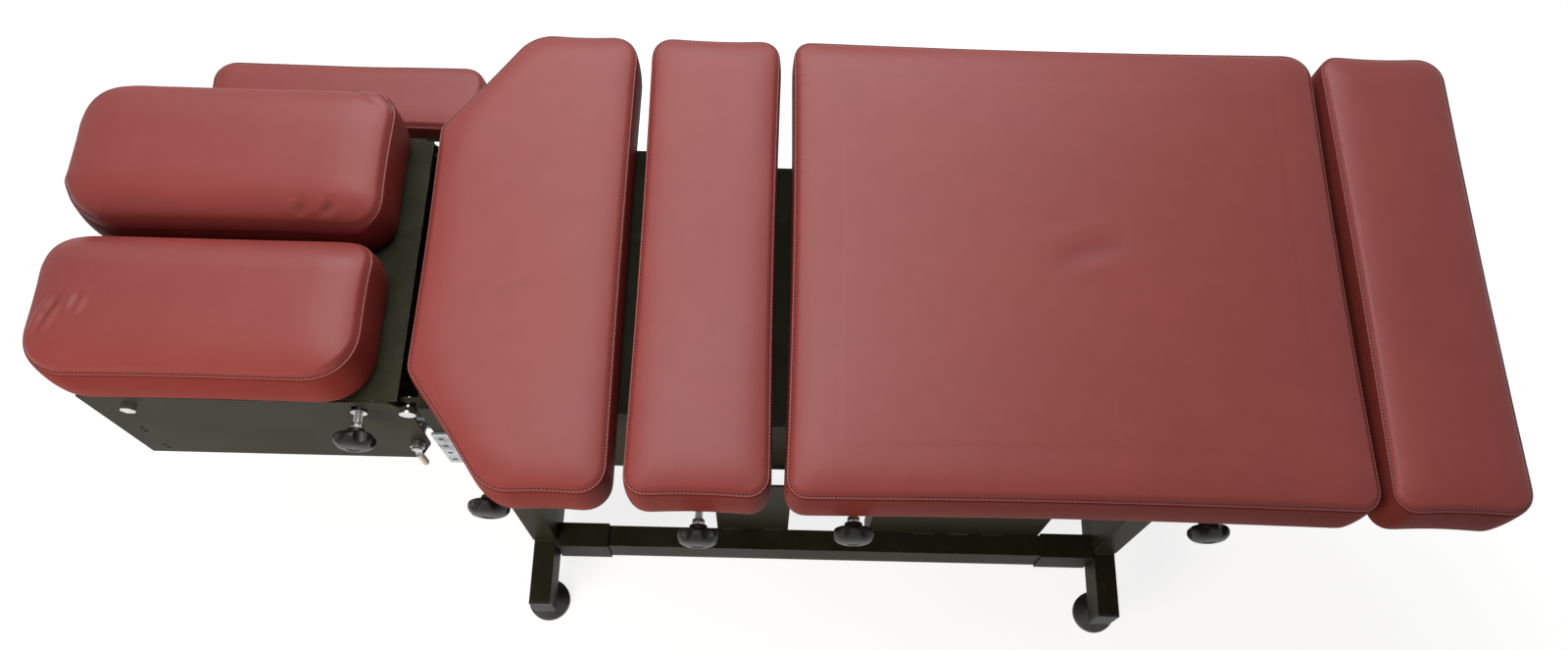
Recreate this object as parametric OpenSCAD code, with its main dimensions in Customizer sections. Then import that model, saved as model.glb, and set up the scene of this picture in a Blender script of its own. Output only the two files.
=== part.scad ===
// Manual drop table for chiropractic work: two head cushions on a tilting box, then chest, lumbar,
// pelvic and foot sections on a sheet steel chassis, carried by columns on a tube base.
// Head end towards -X, foot end towards +X, the operator's knobs towards -Y, floor at z = 0.

/* [Cushions] */
// Height of the top seam of the body cushions above the floor
seam_h = 580; // [575:1:600]
// Width of the body cushions
cushion_w = 600; // [592:1:620]
// Height of the side band below the seam
boxing_h = 73; // [68:1:78]
// Rise of the crown above the seam
crown_h = 12; // [6:1:16]
// Corner radius of the body cushions
corner_r = 26; // [16:1:34]
// Length of the head cushions
head_l = 380; // [370:1:385]
// Length of the chest cushion
chest_l = 237; // [234:1:250]
// Length of the lumbar cushion
lumbar_l = 165; // [160:1:175]
// Length of the pelvic cushion
pelvic_l = 660; // [640:1:690]
// Length of the foot cushion
foot_l = 160; // [155:1:200]
// Gap between head and chest cushions
head_gap = 48; // [46:1:52]
// Gap between chest, lumbar and pelvic cushions
drop_gap = 15; // [13:1:18]
// Gap between pelvic and foot cushions
foot_gap = 10; // [8:1:14]

/* [Head cushions] */
// Width of each head cushion
head_cushion_w = 186; // [180:1:188]
// Height of the side band of a head cushion
head_boxing_h = 72; // [60:1:80]
// Rise of the crown of a head cushion
head_crown_h = 22; // [14:1:26]
// Corner radius of the head cushions
head_corner_r = 48; // [30:1:56]
// Gap between the two head cushions
head_split = 10; // [8:1:12]
// Shift of the pair of head cushions to the far side
head_shift = 7; // [0:1:8]

/* [Armrest] */
// Length of the armrest pad
arm_l = 373; // [340:1:385]
// Width of the armrest pad
arm_w = 102; // [90:1:106]
// Height of the body cushions' seam above the armrest pad's top
arm_drop = 125; // [118:1:130]
// Thickness of the armrest pad with its board
arm_t = 43; // [38:1:46]
// Distance of the armrest's centre line from the table's centre line
arm_y = 286; // [284:1:296]

/* [Chassis] */
// Outer width of the chassis and of the head box
chassis_w = 358; // [354:1:364]
// Height of the chassis side plates below the rear deck
chassis_h = 179; // [174:1:186]
// Sheet thickness
sheet = 3; // [2:0.5:3]
// Height of the head box
head_box_h = 212; // [205:1:216]
// Length of the head box side plates
head_box_l = 352; // [345:1:354]

/* [Base] */
// Width of the base tubes
tube_w = 30; // [28:1:34]
// Height of the base tubes
tube_h = 60; // [50:1:64]
// Wall of the base tubes
tube_wall = 2.5; // [1.5:0.5:3]
// Gap between the base tubes and the floor
base_clear = 35; // [35:1:40]
// Length of the crossbars
bar_l = 650; // [620:1:660]
// Distance of the foot crossbar from the foot end
foot_bar_inset = 354; // [330:1:356]
// Distance of the head crossbar from the head end
head_bar_inset = 520; // [515:1:560]

/* [Knobs] */
// Diameter of the star knobs
knob_d = 50; // [40:1:56]
// Diameter of the studs
stud_d = 10; // [8:1:10]

/* [Travel] */
// Lift of the chest section, degrees
chest_lift = 3.7; // [2:0.1:3.8]
// Lift of the lumbar section, degrees
lumbar_lift = 4.5; // [2:0.1:4.6]
// Lift of the pelvic section, degrees
pelvic_lift = 1.8; // [1:0.1:1.9]
// Lift of the head tray, degrees
head_lift = 3; // [1:0.1:3.1]
// Spread of each head cushion
head_spread = 25; // [10:1:28]
// Head tilt upwards, degrees
tilt_up = 18; // [10:1:18]
// Head tilt downwards, degrees
tilt_down = 5; // [0:1:5]
// Extension of the foot section
foot_reach = 150; // [80:1:150]
// Height adjustment of the armrest
arm_raise = 50; // [20:1:50]

/* [Hidden] */
$fn = 48;

// Clearances shared by all pieces
run_fit = 0.06;      // radial clearance of a turning or sliding round pair
gap_fit = 0.3;       // gap between pieces that pass or rest close together
slide_gap = 0.5;     // side gap between nested sheets
over = 1;            // overrun of a cut past a face

// Places of the cushions along the table
total_l = head_l + head_gap + chest_l + lumbar_l + pelvic_l + foot_l + 2 * drop_gap + foot_gap;
head_x0 = -total_l / 2;
head_x1 = head_x0 + head_l;
chest_x0 = head_x1 + head_gap;
chest_x1 = chest_x0 + chest_l;
lumbar_x0 = chest_x1 + drop_gap;
lumbar_x1 = lumbar_x0 + lumbar_l;
pelvic_x0 = lumbar_x1 + drop_gap;
pelvic_x1 = pelvic_x0 + pelvic_l;
foot_x0 = pelvic_x1 + foot_gap;
foot_x1 = foot_x0 + foot_l;

// Stack under the body cushions
board_t = 15;
board_inset = 7;
frame_h = 30;
frame_tube_w = 20;
frame_wall = 2;
buffer_h = 9;
buffer_r = 9;
board_z = seam_h - boxing_h;
cushion_z = board_z + board_t;
frame_z = board_z - frame_h;
deck_z = frame_z - buffer_h;
hinge_z = frame_z + frame_h / 2;
bridge_clear = 4;
bridge_z = board_z - bridge_clear;

// Outline of the chest cushion: its neck edge and where it reaches full width
neck_half_w = 160;
shoulder_l = 102;

// Chassis
half_w = chassis_w / 2;
inner_w = half_w - sheet;
chassis_front_lap = 3;
chassis_rear_inset = 25;
chassis_x0 = chest_x0 - chassis_front_lap;
chassis_x1 = pelvic_x1 - chassis_rear_inset;
chassis_z = deck_z - chassis_h;
step_l = 15;
step_x = lumbar_x0 + step_l;
flange_w = 25;
bridge_rear_l = 55;
bridge_front_l = 25;
member_w = 40;
member_h = 20;
member_shares = [0.11, 0.47, 0.92];

// Base
bar_foot_x = foot_x1 - foot_bar_inset;
bar_head_x = head_x0 + head_bar_inset;
tube_z0 = base_clear;
tube_z1 = base_clear + tube_h;
column_reach = 33;
rail_in_y = half_w + column_reach;
rail_y = rail_in_y + tube_w / 2;
post_w = 34;
post_reach = 57;
post_lap = 61;
post_top = chassis_z + post_lap;
post_wall = 3;
column_lap = 31;
front_column_l = 103;
front_column_past = 28;
front_column_x = lumbar_x1 + front_column_past - front_column_l;
rear_column_l = 250;
sleeve_l = 75;
rear_column_gap = 4;
rear_column_x = bar_foot_x - post_w / 2 - sleeve_l - rear_column_gap - rear_column_l;
cap_t = 3;

// Levelling feet
foot_pad_r = 30;
foot_pad_h = 8;
foot_cone_h = 10;
foot_cone_r = 11;
foot_end_inset = 20;
foot_y = bar_l / 2 - foot_end_inset;
foot_stem_r = 5;
foot_stem_room = 12;
foot_stem_top = tube_z1 - tube_wall - foot_stem_room;
foot_nut_h = 6.5;
foot_nut_r = 9;
bush_r = 11;
bush_h = 14;
plug_clear = 1;
plug_l = foot_end_inset - bush_r - plug_clear;

// Studs and knobs: places along X, height of their axes, and where the star's middle lies in Y
stud_r = stud_d / 2;
stud_show = 15;
nut_h = 7;
nut_r = 8;
collar_h = 6;
collar_r = 10.5;
star_h = 19;
star_profile_shares = [[0.64, 0], [0.96, 0.2], [1, 0.42], [0.86, 0.72], [0.5, 0.94]];
lobes = 6;
lobe_cut_r = 11;
lobe_cut_out = 6;
star_mid = stud_show + nut_h + collar_h + star_h / 2;
knob_rise = 3;
knob_z = frame_z + knob_rise;
chest_knob_in = 90;
lumbar_knob_in = 82;
pelvic_knob_in = 82;
chest_knob_x = chest_x0 + chest_knob_in;
lumbar_knob_x = lumbar_x0 + lumbar_knob_in;
pelvic_knob_x = pelvic_x0 + pelvic_knob_in;
chest_knob_back = 8;
lumbar_knob_out = 21;
pelvic_knob_out = 14;
foot_knob_back = 7;
chest_knob_y = cushion_w / 2 - chest_knob_back;
lumbar_knob_y = cushion_w / 2 + lumbar_knob_out;
pelvic_knob_y = cushion_w / 2 + pelvic_knob_out;
foot_knob_y = cushion_w / 2 - foot_knob_back;
knob_tube_r = 9;
gusset_l = 21;
grip_plate_t = 3;
grip_plate_in = 9;
grip_plate_y = inner_w - grip_plate_in;
grip_plate_half = 15;
grip_side = 1.2;
grip_margin = 8;
slot_clear = 4;
washer_r = 10;
washer_t = 3;

// Drop frames: half width, ends, hinge and cross tubes
frame_half_w = 145;
hinge_back = 12;
frame_rear_gap = 7;
chest_frame_in = 32;
lumbar_frame_in = 25;
lumbar_frame_end = 8;
pelvic_frame_in = 45;
pelvic_frame_end = 20;
chest_frame_x0 = chest_x0 + chest_frame_in;
chest_frame_x1 = step_x - bridge_rear_l - frame_rear_gap;
lumbar_frame_x0 = lumbar_x0 + lumbar_frame_in;
lumbar_frame_x1 = lumbar_x1 - lumbar_frame_end;
pelvic_frame_x0 = pelvic_x0 + pelvic_frame_in;
pelvic_frame_x1 = pelvic_x1 - pelvic_frame_end;
chest_hinge_x = chest_frame_x1 - hinge_back;
lumbar_hinge_x = lumbar_frame_x1 - hinge_back;
pelvic_hinge_x = pelvic_frame_x1 - hinge_back;
pin_r = 5;
pin_boss_r = 9;
pin_head_r = 9;
pin_head_t = 3;
lug_t = 6;
lug_half = 10;
lug_gap = 7;
lug_y = frame_half_w - frame_tube_w - lug_gap - lug_t;
cross_back = 52;

// Head box, its hinge and its tray
head_front_inset = 32;
head_box_x0 = head_x0 + head_front_inset;
head_box_drop = 62;
head_box_top = seam_h - head_box_drop;
head_box_z0 = head_box_top - head_box_h;
head_box_x1 = head_box_x0 + head_box_l;
ear_r = 13;
ear_gap = 1;
tilt_x = chassis_x0 - ear_r - ear_gap;
tilt_drop = 30;
tilt_z = head_box_top - tilt_drop;
tilt_pin_r = 6;
tilt_pin_head_r = 10;
head_lug_t = 6;
head_lug_in = 12;
head_lug_y = inner_w - head_lug_in;
head_edge_back = 3;
notch_h = 56;
notch_back = 2;
corner_cut = 4;
tray_front_gap = 7;
tray_x0 = head_box_x0 + tray_front_gap;
tray_rear_gap = 6;
tray_x1 = tilt_x - tray_rear_gap;
tray_flange_gap = 21;
tray_flange_x1 = tilt_x - tray_flange_gap;
tray_flange_h = 50;
tray_half = inner_w - slide_gap;
pivot_in = 49;
pivot_drop = 30;
pivot_x = head_box_x0 + pivot_in;
pivot_z = head_box_top - pivot_drop;
pivot_r = 5;
head_knob_in = 321;
head_knob_drop = 1;
head_knob_x = head_box_x0 + head_knob_in;
head_knob_z = pivot_z - head_knob_drop;
head_slot_side = 0.6;
head_washer_t = 2;
tray_boss_l = 12;
tray_boss_r = 8;
bolt_head_h = 6.5;
bolt_head_r = 9.8;
holder_in = 28;
holder_x = head_box_x0 + holder_in;
holder_r = 2.75;
holder_pitch = 12;
holder_drop = 125;
holder_spacing = 68;
front_wall_drop = 14;

// Slides of the head cushions
rod_r = 3;
rod_in = 130;
rod_pitch = 113;
rod_x = [head_box_x0 + rod_in, head_box_x0 + rod_in + rod_pitch];
runner_h = 8;
runner_w = 16;
runner_l = 60;
runner_gap = 0.3;
rod_block_t = 8;
rod_block_in = 12;
rod_block_y = tray_half - rod_block_in;
runner_stop = 18.5;
runner_y = rod_block_y - runner_stop - head_spread - runner_l / 2;
head_board_z = head_box_top + runner_h;

// Tilt clamp: quadrant plate with an arc slot about the tilt axis
quad_r0 = 98;
quad_r1 = 130;
quad_slot_r = 115;
quad_t = 4;
quad_in = 20;
quad_y = inner_w - quad_in;
clamp_a = 7.5;
clamp_stud_r = 5;
clamp_side = 0.4;
clamp_spacer_r = 8;
clamp_cap_r = 7;
clamp_cap_t = 3;
quad_a0 = -26;
quad_spare = 8;
quad_a1 = clamp_a + tilt_up + quad_spare;
slot_spare = 1;
quad_block_in = 10;
quad_block_x = chassis_x0 + quad_block_in;
quad_block_l = 34;
quad_block_h = 40;
strap_lap = 4;
strap_x = chassis_x0 - strap_lap;
strap_w = 28;
strap_h = 118;
strap_rise = 8;
strap_z = chassis_z + strap_rise;
strap_t = 3;
strap_corner_r = 5;
strap_hole_shares = [0.12, 0.36, 0.6, 0.84];
strap_hole_across_share = 0.32;
strap_hole_r = 3.5;
lever_hub_r = 9;
lever_hub_h = 8;
lever_arm_w = 8;
lever_arm_t = 3;
lever_arm_in = 1;
lever_drop = 33;
lever_lean = 6;
grip_r = 4.5;
grip_l = 37;
clamp_x = tilt_x - quad_slot_r * sin(clamp_a);
clamp_z = tilt_z - quad_slot_r * cos(clamp_a);

// Foot section
slide_r = 12.5;
slide_wall = 2;
slide_y = 120;
slide_drop = 23;
slide_z = deck_z - slide_drop;
riser_t = 6;
riser_in = 15;
riser_x = foot_x0 + riser_in;
guide_r = 18;
guide_in_back = 179;
guide_in_x = foot_x0 - guide_in_back;
slide_spare = 16;
slide_x0 = guide_in_x - foot_reach - slide_spare;
guide_in_l = 36;
guide_out_l = 40;
guide_out_x = chassis_x1 - sheet - guide_out_l;
guide_web = 14;
foot_knob_x = guide_in_x + guide_in_l / 2;
foot_rail_w = 40;
foot_rail_h = 15;
foot_rail_end = 15;
riser_side = 20;
riser_drop = 15;

// Armrest
arm_in = 70;
arm_x0 = head_x0 + arm_in;
arm_x1 = arm_x0 + arm_l;
arm_board_t = 10;
arm_top = seam_h - arm_drop;
arm_board_z = arm_top - arm_t;
arm_crown = 8;
arm_corner_r = 30;
post_r = 12.5;
arm_post_in = 28;
arm_post_x = arm_x1 - arm_post_in;
hub_r = 20;
hub_h = 8;
spigot_r = 8;
spigot_play = 0.5;
socket_r = 17;
socket_l = 65;
socket_drop = 9;
post_grip = 45;
arm_post_l = socket_drop + arm_raise + post_grip;
arm_tube = 25;
arm_tube_lap = 5;
arm_tube_drop = 28;
arm_plate_l = 50;
arm_plate_h = 55;
arm_plate_t = 6;
clamp_drop = 25;
clamp_stud = 4;
clamp_hub_r = 16;
clamp_hub_h = 14;
clamp_neck = 6;
clamp_cut_out = 3;
clamp_cut_r = 6;

// Unit vector, and the inward normal of an edge of a counter-clockwise outline
function unit(v) = v / norm(v);
function inward(p, q) = let (e = unit(q - p)) [-e.y, e.x];

// Corner i of a convex outline, moved inwards by d
function inset_corner(pts, i, d) =
    let (
        n = len(pts),
        q = pts[i],
        n1 = inward(pts[(i + n - 1) % n], q),
        n2 = inward(q, pts[(i + 1) % n])
    ) q + (n1 + n2) * d / (1 + n1 * n2);

// Arc points round corner i of the outline inset by d, with the given corner radius
function corner_arc(pts, i, d, r, count) =
    let (
        n = len(pts),
        c = inset_corner(pts, i, d + r),
        n1 = inward(pts[(i + n - 1) % n], pts[i]),
        n2 = inward(pts[i], pts[(i + 1) % n]),
        a1 = atan2(-n1.y, -n1.x),
        a2 = atan2(-n2.y, -n2.x),
        sweep = (a2 - a1 + 720) % 360
    ) [for (k = [0:count - 1])
        let (a = a1 + sweep * k / (count - 1)) c + r * [cos(a), sin(a)]];

// One ring of a cushion: rounded corners, and edges that draw in between them
function ring(pts, d, r, draw, z, arc_n, edge_n) = [
    for (i = [0:len(pts) - 1])
        let (
            arc = corner_arc(pts, i, d, r, arc_n),
            next = corner_arc(pts, (i + 1) % len(pts), d, r, arc_n)[0],
            last = arc[arc_n - 1],
            inw = inward(last, next)
        ) each concat(
            [for (p = arc) [p.x, p.y, z]],
            [for (k = [1:edge_n])
                let (u = k / (edge_n + 1), p = last + (next - last) * u + inw * draw * sin(180 * u))
                [p.x, p.y, z]]
        )
];

// Shares of the half width and of the crown's rise at each ring above the seam
crown_in_shares = [0.035, 0.12, 0.3, 0.56, 0.84];
crown_up_shares = [0.22, 0.5, 0.78, 0.94, 0.995];
// Shares of the band's height, and of the tuck at its foot, at each ring up to the seam
band_up_shares = [0, 0.22, 0.6, 1];
band_in_shares = [1, 0.3, 0, 0.35];
crown_corner_share = 0.4;
draw_in = 2.5;
band_tuck = 4;
head_band_tuck = 5;
arc_points = 5;
edge_points = 5;

// Soft cushion body from z0 to the seam, crowned above it; half is half of its narrow width
module cushion(pts, z0, band_h, crown, r, half, tuck) {
    mid = [for (axis = [0:1]) (max([for (p = pts) p[axis]]) + min([for (p = pts) p[axis]])) / 2];
    rings = concat(
        [for (k = [0:len(band_up_shares) - 1])
            ring(pts, tuck * band_in_shares[k], r, draw_in, z0 + band_h * band_up_shares[k],
                arc_points, edge_points)],
        [for (k = [0:len(crown_in_shares) - 1])
            let (d = half * crown_in_shares[k])
            ring(pts, d + tuck * band_in_shares[3], max(r - d, r * crown_corner_share), draw_in,
                z0 + band_h + crown * crown_up_shares[k], arc_points, edge_points)]
    );
    n = len(rings[0]);
    m = len(rings);
    polyhedron(
        points = concat([for (g = rings) each g], [[mid.x, mid.y, z0], [mid.x, mid.y, z0 + band_h + crown]]),
        faces = concat(
            [for (k = [0:m - 2], i = [0:n - 1]) [k * n + i, (k + 1) * n + i, k * n + (i + 1) % n]],
            [for (k = [0:m - 2], i = [0:n - 1])
                [k * n + (i + 1) % n, (k + 1) * n + i, (k + 1) * n + (i + 1) % n]],
            [for (i = [0:n - 1]) [m * n, i, (i + 1) % n]],
            [for (i = [0:n - 1]) [m * n + 1, (m - 1) * n + (i + 1) % n, (m - 1) * n + i]]
        )
    );
}

function box_outline(x0, x1, y0, y1) = [[x0, y0], [x1, y0], [x1, y1], [x0, y1]];

function chest_outline(d = 0) =
    let (
        h = cushion_w / 2,
        pts = [
            [chest_x0, -neck_half_w], [chest_x0 + shoulder_l, -h], [chest_x1, -h],
            [chest_x1, h], [chest_x0 + shoulder_l, h], [chest_x0, neck_half_w]
        ]
    ) [for (i = [0:len(pts) - 1]) inset_corner(pts, i, d)];

// Rounded rectangle drawn with true arcs, centred
module round_rect(l, w, r) {
    square([l - 2 * r, w], center = true);
    square([l, w - 2 * r], center = true);
    for (sx = [-1, 1], sy = [-1, 1]) translate([sx * (l / 2 - r), sy * (w / 2 - r)]) circle(r = r);
}

// Box given by its two corners
module box(a, b) {
    translate(a) cube(b - a);
}

// Rectangular tube between two corners, open along the named axis
module tube(a, b, axis, wall) {
    cut = [for (k = [0:2]) k == axis ? -over : wall];
    difference() {
        box(a, b);
        box(a + cut, b - cut);
    }
}

// What it holds, and its mirror image across the table's middle plane
module both_sides() {
    children();
    mirror([0, 1, 0]) children();
}

// Cylinder along Y from y0 to y1
module rod_y(x, z, y0, y1, r, sides = 48) {
    translate([x, y1, z]) rotate([90, 0, 0]) cylinder(h = y1 - y0, r = r, $fn = sides);
}

// Outline drawn in X and Z, given thickness along Y from y0 to y1
module sheet_y(y0, y1) {
    translate([0, y1, 0]) rotate([90, 0, 0]) linear_extrude(y1 - y0) children();
}

// Plywood board under a cushion
module board(l, w, r) {
    color("burlywood") linear_extrude(board_t) round_rect(l, w, r);
}

module body_board(x0, x1) {
    translate([(x0 + x1) / 2, 0, board_z])
        board(x1 - x0 - 2 * board_inset, cushion_w - 2 * board_inset, corner_r - board_inset);
}

module body_cushion(x0, x1) {
    h = cushion_w / 2;
    color("brown") cushion(box_outline(x0, x1, -h, h), cushion_z, seam_h - cushion_z, crown_h,
        corner_r, min(x1 - x0, cushion_w) / 2, band_tuck);
}

// Star knob on its stud, built along +Z from the end of its tube; the stud reaches back by inside
module star_knob(inside) {
    r = knob_d / 2;
    z_nut = stud_show;
    z_collar = z_nut + nut_h;
    z_star = z_collar + collar_h;
    z_end = z_star + star_h;
    color("silver") translate([0, 0, -inside]) cylinder(h = inside + z_collar, r = stud_r);
    color("silver") translate([0, 0, z_nut]) cylinder(h = nut_h, r = nut_r, $fn = 6);
    color("black") translate([0, 0, z_collar]) cylinder(h = collar_h, r = collar_r);
    color("black") translate([0, 0, z_star]) difference() {
        rotate_extrude() polygon(concat(
            [[0, 0]], [for (p = star_profile_shares) [r * p[0], star_h * p[1]]], [[0, star_h]]));
        for (k = [0:lobes - 1]) rotate(360 * k / lobes) translate([r + lobe_cut_out, 0, -over])
            cylinder(h = star_h + 2 * over, r = lobe_cut_r);
    }
}

// Knob of a drop section, with the washer that draws the grip plate against the tube
module drop_knob(x, y, z) {
    reach = y - star_mid - (grip_plate_y - grip_plate_t - gap_fit);
    translate([x, -(y - star_mid), z]) rotate([90, 0, 0]) star_knob(reach);
    color("silver") rod_y(x, z, -(grip_plate_y - grip_plate_t - gap_fit),
        -(grip_plate_y - grip_plate_t - gap_fit - washer_t), washer_r);
}

// Base: two rails between two crossbars
module base_rails() color("darkslategray") {
    for (s = [-1, 1]) tube(
        [bar_head_x + tube_w / 2, s * rail_y - tube_w / 2, tube_z0],
        [bar_foot_x - tube_w / 2, s * rail_y + tube_w / 2, tube_z1], 0, tube_wall);
}

module base_crossbars() color("darkslategray") {
    for (x = [bar_head_x, bar_foot_x]) difference() {
        tube([x - tube_w / 2, -bar_l / 2, tube_z0], [x + tube_w / 2, bar_l / 2, tube_z1], 1, tube_wall);
        for (s = [-1, 1]) translate([x, s * foot_y, tube_z0 - over])
            cylinder(h = tube_wall + 2 * over, r = foot_stem_r + gap_fit);
    }
}

// Box sleeves that stiffen the rails where they meet the crossbars
module corner_sleeves() color("darkslategray") {
    y0 = tube_w / 2 + tube_wall;
    for (s = [-1, 1], e = [-1, 1]) {
        x_bar = e > 0 ? bar_foot_x : bar_head_x;
        x_in = x_bar - e * (post_w / 2 + sleeve_l);
        x_out = x_bar - e * post_w / 2;
        difference() {
            box([min(x_in, x_out), s * rail_y - y0, tube_z0 - tube_wall],
                [max(x_in, x_out), s * rail_y + y0, tube_z1 + tube_wall]);
            box([min(x_in, x_out) - over, s * rail_y - tube_w / 2, tube_z0],
                [max(x_in, x_out) + over, s * rail_y + tube_w / 2, tube_z1]);
        }
    }
}

module crossbar_end_caps() color("black") {
    for (x = [bar_head_x, bar_foot_x], s = [-1, 1]) {
        y_face = s * bar_l / 2;
        plug = [tube_w - 2 * tube_wall - 2 * gap_fit, plug_l, tube_h - 2 * tube_wall - 2 * gap_fit];
        box([x - tube_w / 2, min(y_face, y_face + s * cap_t), tube_z0],
            [x + tube_w / 2, max(y_face, y_face + s * cap_t), tube_z1]);
        translate([x, y_face - s * plug_l / 2, (tube_z0 + tube_z1) / 2]) cube(plug, center = true);
    }
}

module levelling_bushes() color("silver") {
    for (x = [bar_head_x, bar_foot_x], s = [-1, 1]) translate([x, s * foot_y, tube_z0 + tube_wall])
        difference() {
            cylinder(h = bush_h, r = bush_r);
            translate([0, 0, -over]) cylinder(h = bush_h + 2 * over, r = foot_stem_r + run_fit);
        }
}

// Levelling foot: pad, cone and stem in one turned outline, with a lock nut
module levelling_foot(x, y) {
    nut_z = tube_z0 - gap_fit - foot_nut_h;
    translate([x, y, 0]) {
        color("dimgray") rotate_extrude() polygon([
            [0, 0], [foot_pad_r, 0], [foot_pad_r, foot_pad_h], [foot_cone_r, foot_pad_h + foot_cone_h],
            [foot_stem_r, foot_pad_h + foot_cone_h], [foot_stem_r, foot_stem_top], [0, foot_stem_top]
        ]);
        color("silver") translate([0, 0, nut_z]) difference() {
            cylinder(h = foot_nut_h, r = foot_nut_r, $fn = 6);
            translate([0, 0, -over]) cylinder(h = foot_nut_h + 2 * over, r = foot_stem_r);
        }
    }
}

// Four posts on the crossbars that carry the chassis sides
module leg_posts() color("darkslategray") {
    for (x = [bar_head_x, bar_foot_x], s = [-1, 1]) {
        y0 = s > 0 ? half_w : -half_w - post_reach;
        difference() {
            box([x - post_w / 2, y0, tube_z1], [x + post_w / 2, y0 + post_reach, post_top]);
            box([x - post_w / 2 + post_wall, y0 + post_wall, tube_z1 - over],
                [x + post_w / 2 - post_wall, y0 + post_reach - post_wall, post_top - post_wall]);
        }
    }
}

// Folded column of one side: web on the rail's inner face, flanges back to the chassis side
module column(x0, l, s) {
    z1 = chassis_z + column_lap;
    web = [s * (rail_in_y - sheet), s * rail_in_y];
    flange = [s * half_w, s * (rail_in_y - sheet)];
    box([x0, min(web), tube_z0], [x0 + l, max(web), z1]);
    for (x = [x0, x0 + l - sheet]) box([x, min(flange), tube_z0], [x + sheet, max(flange), z1]);
}

module front_columns() color("darkslategray") for (s = [-1, 1]) column(front_column_x, front_column_l, s);

module rear_columns() color("darkslategray") for (s = [-1, 1]) column(rear_column_x, rear_column_l, s);

// Chassis side plate outline, higher under the chest section
module side_outline() {
    rise = bridge_z - sheet - deck_z;
    polygon([
        [chassis_x0, chassis_z], [chassis_x1, chassis_z], [chassis_x1, deck_z],
        [step_x + rise, deck_z], [step_x, deck_z + rise], [chassis_x0, deck_z + rise]
    ]);
}

module chassis_side(s) {
    y = s > 0 ? inner_w : -half_w;
    flange_y = s > 0 ? inner_w - flange_w : -inner_w;
    sheet_y(y, y + sheet) side_outline();
    box([chassis_x0, flange_y, chassis_z], [chassis_x1, flange_y + flange_w, chassis_z + sheet]);
}

module chassis_side_near() color("darkslategray") difference() {
    chassis_side(-1);
    rod_y(chest_knob_x, knob_z, -half_w - over, -inner_w + over, knob_tube_r);
    rod_y(foot_knob_x, slide_z, -half_w - over, -inner_w + over, knob_tube_r);
}

module chassis_side_far() color("darkslategray") chassis_side(1);

// Deck sheet between the sides, slotted where the grip plates pass through
module chassis_deck() color("darkslategray") difference() {
    box([chassis_x0, -inner_w, deck_z - sheet], [chassis_x1, inner_w, deck_z]);
    for (x = [chest_knob_x, lumbar_knob_x, pelvic_knob_x])
        box([x - grip_plate_half - slot_clear, -grip_plate_y - slot_clear, deck_z - sheet - over],
            [x + grip_plate_half + slot_clear, -grip_plate_y + grip_plate_t + slot_clear, deck_z + over]);
}

module chassis_ends() color("darkslategray") {
    end_y = inner_w - flange_w;
    box([chassis_x0, -end_y, chassis_z], [chassis_x0 + sheet, end_y, deck_z - sheet]);
    difference() {
        box([chassis_x1 - sheet, -end_y, chassis_z], [chassis_x1, end_y, deck_z - sheet]);
        for (s = [-1, 1]) translate([chassis_x1 - sheet - over, s * slide_y, slide_z]) rotate([0, 90, 0])
            cylinder(h = sheet + 2 * over, r = slide_r + gap_fit);
    }
}

module chassis_crossmembers() color("darkslategray") {
    y1 = inner_w;
    for (share = member_shares) {
        x = chassis_x0 + share * (chassis_x1 - chassis_x0);
        tube([x - member_w / 2, -y1, chassis_z + sheet], [x + member_w / 2, y1, chassis_z + sheet + member_h],
            1, frame_wall);
    }
}

// Folded cross channels that close the raised part of the chassis before and behind the chest frame
module chest_bridges() color("darkslategray") {
    for (b = [[chassis_x0, bridge_front_l], [step_x - bridge_rear_l, bridge_rear_l]]) {
        x1 = b[0] + b[1];
        box([b[0], -half_w, bridge_z - sheet], [x1, half_w, bridge_z]);
        for (x = [b[0], x1 - sheet]) box([x, -inner_w, deck_z], [x + sheet, inner_w, bridge_z - sheet]);
    }
}

// Hinge lugs of the three drop frames on the deck, and of the head box on the front bridge
module hinge_lugs() color("darkslategray") {
    for (x = [chest_hinge_x, lumbar_hinge_x, pelvic_hinge_x], s = [-1, 1]) {
        y = s > 0 ? lug_y : -lug_y - lug_t;
        sheet_y(y, y + lug_t) difference() {
            union() {
                translate([x - lug_half, deck_z]) square([2 * lug_half, hinge_z - deck_z]);
                translate([x, hinge_z]) circle(r = lug_half);
            }
            translate([x, hinge_z]) circle(r = pin_r);
        }
    }
    for (s = [-1, 1]) {
        y = s > 0 ? head_lug_y : -head_lug_y - head_lug_t;
        sheet_y(y, y + head_lug_t) difference() {
            union() {
                translate([tilt_x, tilt_z - ear_r]) square([chassis_x0 - tilt_x, 2 * ear_r]);
                translate([tilt_x, tilt_z]) circle(r = ear_r);
            }
            translate([tilt_x, tilt_z]) circle(r = tilt_pin_r);
        }
    }
}

module hinge_pins() color("silver") {
    y_in = lug_y - pin_head_t;
    y_out = frame_half_w + gap_fit;
    y_tilt = half_w + gap_fit;
    both_sides() {
        for (x = [chest_hinge_x, lumbar_hinge_x, pelvic_hinge_x]) {
            rod_y(x, hinge_z, y_in, y_out, pin_r);
            rod_y(x, hinge_z, y_out, y_out + pin_head_t, pin_head_r);
        }
        rod_y(tilt_x, tilt_z, head_lug_y - pin_head_t, y_tilt, tilt_pin_r);
        rod_y(tilt_x, tilt_z, y_tilt, y_tilt + pin_head_t, tilt_pin_head_r);
    }
}

// Rubber buffers on the deck that each drop frame rests on
module rest_buffers() color("black") {
    for (b = [chest_frame_x0, lumbar_frame_x0, pelvic_frame_x0], s = [-1, 1])
        translate([b + frame_tube_w / 2, s * (frame_half_w - frame_tube_w / 2), deck_z])
            cylinder(h = buffer_h - gap_fit, r = buffer_r);
}

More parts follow.
